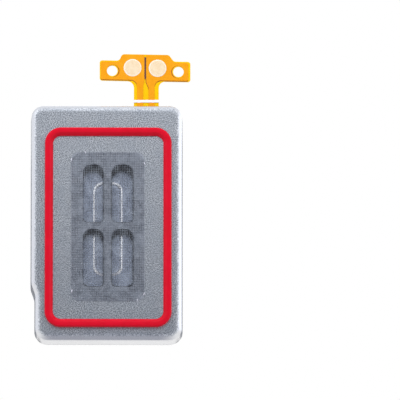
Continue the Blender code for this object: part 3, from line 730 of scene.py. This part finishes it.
def close_sides(piece, y):
    """Run the surface's rim straight along Y to a plane."""
    shaper = bmesh.new()
    shaper.from_mesh(piece.data)
    rim = [edge for edge in shaper.edges if edge.is_boundary]
    grown = bmesh.ops.extrude_edge_only(shaper, edges=rim)
    for item in grown["geom"]:
        if isinstance(item, bmesh.types.BMVert):
            item.co.y = y
    bmesh.ops.recalc_face_normals(shaper, faces=shaper.faces)
    if sum(face.normal.y * face.calc_area() for face in shaper.faces) < 0.0:
        bmesh.ops.reverse_faces(shaper, faces=shaper.faces)
    shaper.to_mesh(piece.data)
    shaper.free()


# ---- seal, mesh and vent

def flat_box(node):
    """(x, z) corners and the Y range of a CAD node."""
    low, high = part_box(node)
    return (low.x, low.z), (high.x, high.z), (low.y, high.y)


def centre_of(node):
    """(x, z) centre of a CAD node."""
    low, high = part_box(node)
    return (low.x + high.x) / 2.0, (low.z + high.z) / 2.0


def seal_section(front, back):
    """Closed section of the seal: flat crest, soft outer shoulder and a long slope on its inner side."""
    section = [(0.0, back), (0.0, front + GASKET_SHOULDER)]
    section += [(GASKET_SHOULDER * inward, front + GASKET_SHOULDER * outward)
                for inward, outward in quarter(5)[1:]]
    for step in range(9):
        share = step / 8.0
        inset = GASKET_SLOPE_START + (GASKET_WIDTH - GASKET_SLOPE_START) * share
        section.append((inset, front + GASKET_FALL * share ** 1.5))
    section.append((GASKET_WIDTH, back))
    return section


def build_gasket():
    low, high, y_range = flat_box("front_gasket")
    ring = swept_band("gasket_ring", lambda inset: rectangle_outline(low, high, GASKET_CORNER, inset, 16),
                      seal_section(*y_range))
    dress(ring, "rubber", replaces=["front_gasket"])


def patch_reach(offset, half_across, half_along):
    """How far a thread reaches either way from the middle, inside the patch's rounded outline."""
    short = max(abs(offset) - (half_across - PATCH_CORNER), 0.0)
    if short >= PATCH_CORNER:
        return 0.0
    return half_along - PATCH_CORNER + math.sqrt(PATCH_CORNER ** 2 - short ** 2)


def mesh_sag(x, z):
    """The mesh dips a little over each slot."""
    sag = 0.0
    for (left, right), (foot, top) in SLOTS:
        across = max(0.0, min(x - left, right - x) / (right - left) * 2.0)
        along = max(0.0, min(z - foot, top - z) / MESH_SAG_RUN)
        sag += MESH_SAG * min(across, 1.0) * min(along, 1.0)
    return sag


def build_mesh_patch():
    """Woven mesh: every thread is a fine strand that runs over and under the ones it crosses."""
    low, high, y_range = flat_box("acoustic_mesh")
    middle = Vector(((low[0] + high[0]) / 2.0, sum(y_range) / 2.0, (low[1] + high[1]) / 2.0))
    half_x, half_z = (high[0] - low[0]) / 2.0, (high[1] - low[1]) / 2.0
    dice = random.Random(5)
    points, faces = [], []
    for upright in (True, False):
        half_across, half_along = (half_x, half_z) if upright else (half_z, half_x)
        count = int(half_across / THREAD_PITCH)
        for number in range(-count, count):
            offset = (number + 0.5) * THREAD_PITCH
            reach = patch_reach(offset, half_across, half_along)
            if reach < THREAD_PITCH:
                continue
            ends = (-reach + dice.uniform(0.0, THREAD_FRAY) * THREAD_PITCH,
                    reach - dice.uniform(0.0, THREAD_FRAY) * THREAD_PITCH)
            add_thread(points, faces, middle, offset, ends, number, upright)
    patch = listed_object("woven_mesh_patch", points, faces)
    dress(patch, "weave", replaces=["acoustic_mesh"])


def add_thread(points, faces, middle, offset, ends, number, upright):
    """One strand with a square section, waving over and under its neighbours."""
    half, rise = THREAD_WIDTH / 2.0, THREAD_RISE
    first = math.ceil(ends[0] / THREAD_PITCH * 2.0)
    last = math.floor(ends[1] / THREAD_PITCH * 2.0)
    places = [ends[0], *(step * THREAD_PITCH / 2.0 for step in range(first, last + 1)), ends[1]]
    base = len(points)
    for along in places:
        phase = math.pi * (along / THREAD_PITCH + number + (0.0 if upright else 1.0))
        wave = rise * math.cos(phase)
        x, z = (offset, along) if upright else (along, offset)
        y = wave + mesh_sag(middle.x + x, middle.z + z)
        for side, lift in ((-half, 0.0), (0.0, -half * 0.8), (half, 0.0), (0.0, half * 0.8)):
            spot = (x + side, y + lift, z) if upright else (x, y + lift, z + side)
            points.append(tuple(middle + Vector(spot)))
    rings = len(places)
    for ring in range(rings - 1):
        start = base + 4 * ring
        for side in range(4):
            after = (side + 1) % 4
            face = (start + side, start + after, start + 4 + after, start + 4 + side)
            faces.append(face if upright else face[::-1])
    last_ring = base + 4 * (rings - 1)
    caps = [(base + 3, base + 2, base + 1, base), (last_ring, last_ring + 1, last_ring + 2, last_ring + 3)]
    faces.extend(caps if upright else [cap[::-1] for cap in caps])


def build_thread_ends():
    """Loose ends of threads along the cut edges of the patch; their white is a painted glint of cut wire."""
    low, high, y_range = flat_box("acoustic_mesh")
    dice = random.Random(11)
    shaper = bmesh.new()
    places = [(low[0] + 0.05 * MM, high[1] - 0.9 * MM), (high[0] - 0.05 * MM, low[1] + 0.75 * MM),
              (high[0] - 0.8 * MM, low[1] + 0.05 * MM), (high[0] - 0.02 * MM, high[1] - 1.3 * MM),
              (low[0] + 0.1 * MM, low[1] + 1.1 * MM), (low[0] + 1.6 * MM, high[1] - 0.03 * MM)]
    for x, z in places:
        lean = dice.uniform(-0.4, 0.4)
        length = dice.uniform(0.25, 0.45) * MM
        place = Matrix.Translation((x, y_range[0] - 0.02 * MM, z)) @ Matrix.Rotation(lean, 4, "Y")
        size = Matrix.Diagonal((0.07 * MM, 0.05 * MM, length, 1.0))
        bmesh.ops.create_icosphere(shaper, subdivisions=2, radius=0.5, matrix=place @ size)
    # White ink look: painted glints on the thread ends.
    dress(shaped_object("thread_ends", shaper), "ink")


def build_slot_edge_shades():
    """Dark line round each slot, under the mesh: painted shade along the slot edges."""
    _, _, (front, back) = flat_box("mesh_adhesive")
    front -= 0.005 * MM
    section = [(0.0, back), (0.0, front), (SLOT_SHADE_WIDTH / 2.0, front - 0.01 * MM), (SLOT_SHADE_WIDTH, front),
               (SLOT_SHADE_WIDTH, back)]
    names = ("lower_left", "upper_left", "lower_right", "upper_right")
    for name, slot in zip(names, SLOTS):
        slot_shade = swept_band("slot_edge_shade_" + name,
                          lambda inset: slot_outline(*slot, SLOT_SHADE_WIDTH - inset), section)
        dress(slot_shade, "slot_shade")


def build_slot_shadow_plate():
    """Thin black plate behind the slots, a painted shadow: its openings sit a little low and stop short of
    the slots' right edges, so it shows dark at their tops and right sides.
    """
    low = (SLOT_COLUMNS[0][0] - SHADOW_PLATE_MARGIN, SLOT_ROWS[0][0] - 2.0 * SHADOW_PLATE_MARGIN)
    high = (SLOT_COLUMNS[1][1] + SHADOW_PLATE_MARGIN, SLOT_ROWS[1][1] + SHADOW_PLATE_MARGIN)
    front = CAN_LOW.y + CASE_WALL + 0.01 * MM
    plate = slab("slot_shadow_plate", rectangle_outline(low, high, 1.2 * MM), (front, front + SHADOW_PLATE_THICKNESS))
    for left, right in SLOT_COLUMNS:
        column = (left - 0.02 * MM, right - SHADOW_PLATE_OVERLAP)
        for row, drop in zip(SLOT_ROWS, SHADOW_PLATE_DROPS):
            window = slot_outline(column, row, drop=drop)
            cut(plate, slab("window", window, (front - CASE_WALL, front + CASE_WALL)))
    dress(plate, "slot_shadow")


def build_vent():
    """Film disc with a hole, and the bright membrane that bulges into the hole."""
    low, high, (back, front) = flat_box("vent_film")
    centre = centre_of("vent_film")
    outer = (high[0] - low[0]) / 2.0
    width = outer - VENT_HOLE_RADIUS
    section = [(0.0, back), (0.0, front - VENT_LIP), (VENT_LIP * 0.4, front - VENT_LIP * 0.4),
               (VENT_LIP, front), (width - VENT_LIP, front), (width, front - VENT_LIP), (width, back)]
    film = swept_band("vent_film_disc", lambda inset: circle_outline(centre, outer - inset, 96), section)
    dress(film, "vent_film", replaces=["vent_film"])
    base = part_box("vent_membrane")[1].y
    button = VENT_HOLE_RADIUS - 0.005 * MM
    rings = [raise_outline(circle_outline(centre, button - inset * 0.98, 48), base + rise)
             for inset, rise in VENT_BULGE]
    dress(loft("vent_breather", rings, cap_first=True, cap_last=True), "membrane")


# ---- diaphragm

def racetrack_distance(x, z, centre, size, corner):
    """Signed distance to a rounded rectangle, negative inside."""
    across = np.abs(x - centre[0]) - (size[0] / 2.0 - corner)
    along = np.abs(z - centre[1]) - (size[1] / 2.0 - corner)
    outside = np.hypot(np.maximum(across, 0.0), np.maximum(along, 0.0))
    return outside + np.minimum(np.maximum(across, along), 0.0) - corner


def build_dome():
    """Dome plate with the embossed racetrack line."""
    low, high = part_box("diaphragm_dome")
    centre = centre_of("diaphragm_dome")
    base = low.y + DOME_DEPTH
    points = []
    for z in stations(((low.z, None), (high.z, 0.05 * MM))):
        from_end = max(DOME_CORNER - min(z - low.z, high.z - z), 0.0)
        inset = DOME_CORNER - math.sqrt(max(DOME_CORNER ** 2 - from_end ** 2, 0.0))
        xs = np.linspace(low.x + inset, high.x - inset, 140)
        line = racetrack_distance(xs, z, centre, EMBOSS_SIZE, EMBOSS_CORNER)
        rise = np.interp(line, EMBOSS_STATIONS, EMBOSS_RISES)
        points.append([(float(x), float(base - lift), z) for x, lift in zip(xs, rise)])
    dome = grid_surface("embossed_dome", points)
    thicken(dome, DOME_SKIN)
    dress(dome, "dome", body="diaphragm", replaces=["diaphragm_dome"])


# ---- flex tail

def layer_y(layer):
    """Y range of one of the flex's layers."""
    first, second = LAYERS[layer]
    face = FILM_Y[0] if first < 0.0 else FILM_Y[1]
    return face + first, face + second


def leaned(corners):
    """The head sits a little askew on its stem: its left ear is the higher one."""
    return [(x, z - (x - STEM_MIDDLE) * HEAD_LEAN, radius) for x, z, radius in corners]


def head_corners():
    left, right, top = HEAD_LOW.x, HEAD_HIGH.x, HEAD_HIGH.z - 0.04 * MM
    return [
        (right, HEAD_FOOT, EAR_CORNER), (right, EAR_TOP, EAR_CORNER), (HUMP_FOOT_X[1], EAR_TOP, HUMP_CORNER),
        (HUMP_TOP_X[1], top, HUMP_CORNER), (HUMP_TOP_X[0], top, HUMP_CORNER),
        (HUMP_FOOT_X[0], EAR_TOP, HUMP_CORNER), (left, EAR_TOP, EAR_CORNER), (left, HEAD_FOOT, EAR_CORNER)]


def stem_stations(foot, top):
    """Heights along the stem, close together where it folds."""
    return stations(((foot, None), (FOLD_MIDDLE - 1.2 * BEND_REACH, 0.3 * MM),
                     (FOLD_MIDDLE + 1.2 * BEND_REACH, 0.05 * MM), (top, 0.3 * MM)))


def strip_with_top(name, stem, foot, top_corners, y_range):
    """Flat layer: a straight strip from foot upwards, whose top opens into an outline."""
    left, right = stem
    shoulder = HEAD_FOOT - HEAD_FILLET - 0.3 * MM
    shaper = bmesh.new()
    pairs = [[shaper.verts.new((x, y_range[0], z)) for x in stem] for z in stem_stations(foot, shoulder)]
    for lower, upper in zip(pairs, pairs[1:]):
        shaper.faces.new((lower[0], lower[1], upper[1], upper[0]))
    outline = rounded_outline([(left, shoulder, 0.0), (right, shoulder, 0.0), *top_corners])
    ring = [shaper.verts.new((point.x, y_range[0], point.y)) for point in outline[2:]]
    shaper.faces.new([*pairs[-1], *ring])
    layer = shaped_object(name, shaper)
    thicken(layer, y_range[1] - y_range[0])
    return layer


def punch(piece, centre, radius):
    """Make a round hole through every layer of the flex."""
    reach = (FILM_Y[0] - 2.0 * MM, FILM_Y[1] + 2.0 * MM)
    cut(piece, slab("punch", circle_outline(centre, radius, 48), reach))


def build_film():
    """The flex's base film in one piece, from inside the case to the head."""
    corners = [(STEM_X[1], HEAD_FOOT, HEAD_FILLET), *leaned(head_corners()),
               (STEM_X[0], HEAD_FOOT, HEAD_FILLET)]
    film = strip_with_top("flex_film", STEM_X, FILM_FOOT, corners, FILM_Y)
    for hole in HOLES:
        punch(film, hole, HOLE_RADIUS)
    dress(film, "film", body="fold", replaces=["flex_root", "flex_fold", "flex_tail"])


def pour_corners(side, drop):
    """Outline of one copper area above its trace, from the trace's right edge round to its left edge."""
    foot, ear, top = HEAD_FOOT + 0.12 * MM - drop, EAR_TOP - 0.14 * MM, HEAD_HIGH.z - 0.1 * MM
    if side == "right":
        outer = HEAD_HIGH.x - 0.24 * MM
        return [
            (TRACES[1][1], foot, HEAD_FILLET), (outer, foot, 0.2 * MM), (outer, ear, 0.25 * MM),
            (HUMP_FOOT_X[1], ear, HUMP_CORNER), (HUMP_TOP_X[1], top, HUMP_CORNER),
            (SPLIT_X[1], top, 0.1 * MM), (SPLIT_X[1] - drop, HEAD_FOOT - 0.1 * MM, 0.3 * MM),
            (TRACES[1][0] - drop, HEAD_FOOT - 0.7 * MM, 0.2 * MM)]
    outer = HEAD_LOW.x + 0.14 * MM
    return [
        (TRACES[0][1], HEAD_FOOT - 0.5 * MM, 0.3 * MM), (SPLIT_X[0], HEAD_FOOT + 0.1 * MM, 0.2 * MM),
        (SPLIT_X[0], top, 0.1 * MM), (HUMP_TOP_X[0], top, HUMP_CORNER), (HUMP_FOOT_X[0], ear, HUMP_CORNER),
        (outer, ear, 0.25 * MM), (outer, foot, 0.2 * MM), (TRACES[0][0], foot, HEAD_FILLET)]


def build_pours():
    """Copper areas under the cover film; a brown layer under each shows along their feet and round one side
    of each hole as painted shade.
    """
    for index, side in enumerate(("left", "right")):
        for name, drop, look in (("copper_edge_shade", 0.07 * MM, "painted_edge_shade"), ("copper_area", 0.0, "coverlay")):
            corners = leaned(pour_corners(side, drop))
            pour = strip_with_top(f"{name}_{side}", TRACES[index], TRACK_FOOT, corners, layer_y(name))
            for x, z in HOLES:
                # The copper's holes sit off centre, so the brown layer shows round one side of each hole as
                # a painted shadow.
                shift = 0.0 if drop else HOLE_SHADOW * (1.0 if side == "left" else -1.0)
                punch(pour, (x + shift, z - 0.3 * abs(shift)), POUR_GAP_RADIUS)
            replaced = []
            if look == "coverlay":
                low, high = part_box("contact_pad_" + side)
                punch(pour, centre_of("contact_pad_" + side), (high.x - low.x) / 2.0 + 0.01 * MM)
                replaced = ["trace_" + side] + (["flex_coverlay"] if side == "left" else [])
            dress(pour, look, body="fold", replaces=replaced)


def build_split():
    """Dark groove between the two copper areas."""
    outline = rectangle_outline((SPLIT_X[0] + 0.01 * MM, HEAD_FOOT + 0.25 * MM),
                                (SPLIT_X[1] - 0.01 * MM, HEAD_HIGH.z - 0.35 * MM), 0.08 * MM)
    dress(slab("split_groove", outline, layer_y("groove")), "split", body=HEAD)


def build_pads():
    """Contact pads: a raised rim round a flat face; the rim's pale colour is a painted highlight, wider on
    the left where the face sits off centre.
    """
    for side in ("left", "right"):
        low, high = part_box("contact_pad_" + side)
        centre = centre_of("contact_pad_" + side)
        radius = (high.x - low.x) / 2.0
        front, back = low.y + 0.012 * MM, FILM_Y[0] - PAD_DEPTH
        rings = [raise_outline(circle_outline(centre, radius - inset, 64), y) for inset, y in (
            (0.0, back), (0.0, front + 0.006 * MM), (0.01 * MM, front), (PAD_RIM, front),
            (0.16 * MM, front + 0.004 * MM))]
        pad = loft("pad_rim_" + side, rings, cap_first=True, cap_last=True)
        dress(pad, "pad_rim", body=HEAD)
        # The face sits off centre, so the rim's painted highlight is wider on its left.
        disc = circle_outline((centre[0] + 0.03 * MM, centre[1]), radius - PAD_RIM, 64)
        face = slab("pad_face_" + side, disc, (front - 0.003 * MM, front + 0.003 * MM))
        dress(face, "gold", body=HEAD, replaces=["contact_pad_" + side])


def wavy_strip(name, x_range, z_range, y_range, seed):
    """Printed line across the stem with slightly uneven edges."""
    dice = random.Random(seed)
    columns = stations(((x_range[0], None), (x_range[1], 0.18 * MM)))
    rows = stations(((z_range[0], None), (z_range[1], 0.05 * MM)))
    points = []
    waves = [(dice.uniform(-0.02, 0.02) * MM, dice.uniform(-0.02, 0.02) * MM) for _ in columns]
    middle, half = sum(z_range) / 2.0, (z_range[1] - z_range[0]) / 2.0
    for z in rows:
        share = (z - middle) / half
        row = []
        for x, (low, high) in zip(columns, waves):
            row.append((x, y_range[0], z + (high if share > 0 else low) * abs(share)))
        points.append(row)
    return flat_layer(name, points, y_range)


def build_fold_ink():
    """White line across both sides of the stem, where it folds."""
    x_range = (STEM_X[0] - 0.005 * MM, STEM_X[1] + 0.005 * MM)
    for side, seed in (("front", 3), ("back", 8)):
        ink = wavy_strip("fold_ink_" + side, x_range, FOLD_Z, layer_y(side + "_ink"), seed)
        dress(ink, "ink", body="fold")


def build_back_coverlay():
    """Orange cover film on the back of the head, under the foam."""
    sheet = slab("back_coverlay", rounded_outline(leaned(head_corners())), layer_y("back_film"))
    for hole in HOLES:
        punch(sheet, hole, HOLE_RADIUS)
    dress(sheet, "coverlay", body=HEAD)


def build_back_traces():
    """Copper tracks on the back of the stem, with orange film over their tops."""
    y_range = layer_y("back_track")
    heights = stem_stations(TRACK_FOOT, HEAD_FOOT - 0.6 * MM)
    for index, side in enumerate(("left", "right")):
        left, right = TRACES[index]
        points = [[(x, y_range[0], z) for x in (left, right)] for z in heights]
        dress(flat_layer("back_track_" + side, points, y_range), "copper", body="fold")
        flare = 0.12 * MM
        low, high = (left - flare, HEAD_FOOT - 0.62 * MM), (right + flare, HEAD_FOOT + 0.3 * MM)
        cap = slab("back_cap_" + side, rectangle_outline(low, high, 0.08 * MM), layer_y("back_cap"))
        dress(cap, "coverlay", body=HEAD)


def build_foam():
    """Foam pad with cut shoulders and its face pulled into dents."""
    low, high, y_range = flat_box("backing_foam")
    (left, foot), (right, top) = low, high
    foot += FOAM_LIFT
    corners = ((left, foot), (right, foot), (right, top - FOAM_SHOULDER), (right - FOAM_SHOULDER, top),
               (left + FOAM_SHOULDER, top), (left, top - FOAM_SHOULDER))
    foam = slab("foam_pad", rounded_outline([(*corner, FOAM_CORNER) for corner in corners]), y_range)
    for hole in HOLES:
        punch(foam, hole, FOAM_HOLE_RADIUS)
    modify(foam, "REMESH", mode="VOXEL", voxel_size=FOAM_VOXEL)
    roughen(foam, y_range)
    dress(foam, "foam", body=HEAD, replaces=["backing_foam"])


def roughen(foam, y_range):
    """Crush and pull the foam's face into shallow dents and creases."""
    dice = random.Random(21)
    low, high, _ = flat_box("backing_foam")
    dents = [(dice.uniform(low[0], high[0]), dice.uniform(low[1], high[1]), dice.uniform(0.15, 0.5) * MM,
              dice.uniform(0.02, 0.09) * MM) for _ in range(FOAM_DENTS)]
    for vertex in foam.data.vertices:
        depth = 0.0
        for x, z, radius, strength in dents:
            reach = ((vertex.co.x - x) ** 2 + (vertex.co.z - z) ** 2) / radius ** 2
            depth += strength * math.exp(-reach)
        share = (vertex.co.y - y_range[0]) / (y_range[1] - y_range[0])
        vertex.co.y -= min(depth, FOAM_DENT_LIMIT) * max(share, 0.0)


# ---- inner pieces

def dress_inner_nodes():
    """The pieces inside the case keep their CAD shapes and take finished materials."""
    slots = {row["node"]: row["material_slot"] for row in frame["record"]["subparts"]}
    for name, node in frame["nodes"].items():
        if node.hide_render:
            continue
        node.data.materials.clear()
        node.data.materials.append(LOOKS[slots[name]])


# ---- camera, light and floor

CAMERA_DISTANCE = 1.5
CAMERA_X = 0.0
CAMERA_TILT = math.radians(12.5)
FRAME_WIDTH = 0.045
SENSOR = 36.0
AIM = Vector((10.50 * MM, -1.0 * MM, 16.35 * MM))

WHITE = (1.0, 1.0, 1.0)
TENT_GREY = (0.185, 0.197, 0.222)
TENT_LEFT = (1.22, 1.22, 1.25)
TENT_RIGHT = (1.75, 1.75, 1.8)
TENT_TOP = (1.18, 1.18, 1.20)

FAR_FLOOR = (0.86, 0.86, 0.87)
FLOOR_HALF = 8.0
FLOOR_GAP = 0.03 * MM
FLOOR_PAINT = (0.76, 0.76, 0.765, 1.0)
FLOOR_GLOW = (0.78, 0.775, 0.76)
MIRRORED_NEAR = (1.25, 1.22, 1.18)
MIRRORED_FAR = (0.55, 0.55, 0.6)
MIRRORED_BEHIND = (0.06, 0.055, 0.055)

LAMP_AIM = Vector((0.0, 0.0, 0.014))
LAMP_SHIFT = 0.02
# Each kind of lamp: its size, energy, distance along Y, height, and whether reflections show it.
PANEL = ((0.16, 0.07), 0.0225, 0.08, 0.075, True)
KEY = ((0.10, 0.04), 0.12, 0.10, 0.16, False)


def build_camera():
    data = bpy.data.cameras.new("camera")
    data.sensor_width = SENSOR
    data.lens = SENSOR * CAMERA_DISTANCE / FRAME_WIDTH
    camera = new_object("camera", data)
    camera.location = Vector((CAMERA_X, AIM.y - CAMERA_DISTANCE * math.cos(CAMERA_TILT),
                              AIM.z - CAMERA_DISTANCE * math.sin(CAMERA_TILT)))
    camera.rotation_mode = "QUATERNION"
    camera.rotation_quaternion = (AIM - camera.location).to_track_quat("-Z", "Y")
    bpy.context.scene.camera = camera


def build_world():
    """A white tent: grey before and behind the object, bright to its sides, softer overhead."""
    world = bpy.data.worlds.new("studio")
    bpy.context.scene.world = world
    world.use_nodes = True
    graph = Graph(world.node_tree)
    x, _, z = graph.split(graph.add("TexCoord").outputs["Generated"])
    sideways = graph.remap(graph.math("ABSOLUTE", x), 0.34, 0.70, smooth=True)
    rightward = graph.remap(x, -0.3, 0.3, smooth=True)
    upward = graph.remap(z, 0.28, 0.78, smooth=True)
    around = graph.blend(sideways, TENT_GREY, graph.blend(rightward, TENT_LEFT, TENT_RIGHT))
    tent = graph.blend(upward, around, TENT_TOP)
    backdrop = graph.blend(graph.remap(z, 0.0, 0.15, smooth=True), FAR_FLOOR, WHITE)
    seen = graph.blend(graph.add("LightPath").outputs["Is Camera Ray"], tent, backdrop)
    graph.link(seen, graph.tree.nodes["Background"].inputs["Color"])


def floor_mirrored(graph, position):
    """What the case mirrors of the floor: bright close to it, dimmer farther off, dark just behind it."""
    x, y, _ = graph.split(position)
    across, along = graph.math("ABSOLUTE", x), graph.math("ABSOLUTE", y)
    behind = graph.remap(y, 0.8 * MM, 1.4 * MM, smooth=True)
    wedge = graph.math("SUBTRACT", across, graph.math("MULTIPLY", along, 0.2))
    wedge = graph.math("SUBTRACT", wedge, graph.math("MULTIPLY", behind, 1.6 * MM))
    inside = graph.remap(wedge, 5.5 * MM, 8.0 * MM, 1.0, 0.0, smooth=True)
    away = graph.math("MULTIPLY", graph.remap(along, 0.9 * MM, 1.6 * MM, smooth=True), inside)
    close = graph.remap(along, 3.0 * MM, 6.0 * MM, 1.0, 0.0, smooth=True)
    dark = graph.blend(graph.math("MULTIPLY", behind, close), MIRRORED_FAR, MIRRORED_BEHIND)
    return graph.blend(away, MIRRORED_NEAR, dark)


def build_floor():
    """Pale floor that is seen only from above and throws warm white light up under the object."""
    corners = [(x * FLOOR_HALF, y * FLOOR_HALF, 0.0) for x, y in ((-1, -1), (1, -1), (1, 1), (-1, 1))]
    floor = listed_object("floor", corners, [(0, 1, 2, 3)])
    floor.location.z = -FLOOR_GAP
    material = bpy.data.materials.new("pale_floor")
    material.use_nodes = True
    graph = Graph(material.node_tree)
    graph.tree.nodes.remove(graph.tree.nodes["Principled BSDF"])
    place, path = graph.add("NewGeometry"), graph.add("LightPath")
    paint, glow = graph.add("BsdfDiffuse"), graph.add("Emission")
    paint.inputs["Color"].default_value = FLOOR_PAINT
    mirrored = floor_mirrored(graph, place.outputs["Position"])
    graph.link(graph.blend(path.outputs["Is Glossy Ray"], FLOOR_GLOW, mirrored), glow.inputs["Color"])
    lit = graph.mix_shaders(path.outputs["Is Camera Ray"], glow, paint)
    sided = graph.mix_shaders(place.outputs["Backfacing"], lit, graph.add("BsdfTransparent"))
    graph.link(sided.outputs[0], graph.tree.nodes["Material Output"].inputs["Surface"])
    floor.data.materials.append(material)


def build_lamp(name, side, size, energy, distance, height, mirrored):
    """Wide soft lamp before (side -1) or behind (side 1) the object, turned towards it."""
    data = bpy.data.lights.new(name, "AREA")
    data.shape = "RECTANGLE"
    data.size, data.size_y = size
    data.energy = energy
    lamp = new_object(name, data)
    lamp.location = (side * LAMP_SHIFT, side * distance, height)
    lamp.rotation_mode = "QUATERNION"
    lamp.rotation_quaternion = (LAMP_AIM - lamp.location).to_track_quat("-Z", "Y")
    lamp.visible_camera = False
    lamp.visible_glossy = mirrored


def build_studio():
    """Low panels, which the lower parts of the case see less of, and high keys, whose shadows fall down."""
    bpy.context.scene.view_settings.view_transform = "Standard"
    build_camera()
    build_world()
    build_floor()
    build_lamp("front_panel", -1.0, *PANEL)
    build_lamp("back_panel", 1.0, *PANEL)
    build_lamp("front_key", -1.0, *KEY)
    build_lamp("back_key", 1.0, *KEY)


# ---- the module

build_front_can()
build_rear_cover()
build_gasket()
build_mesh_patch()
build_thread_ends()
build_slot_edge_shades()
build_slot_shadow_plate()
build_vent()
build_dome()
build_film()
build_pours()
build_split()
build_pads()
build_fold_ink()
build_back_coverlay()
build_back_traces()
build_foam()
dress_inner_nodes()
build_studio()
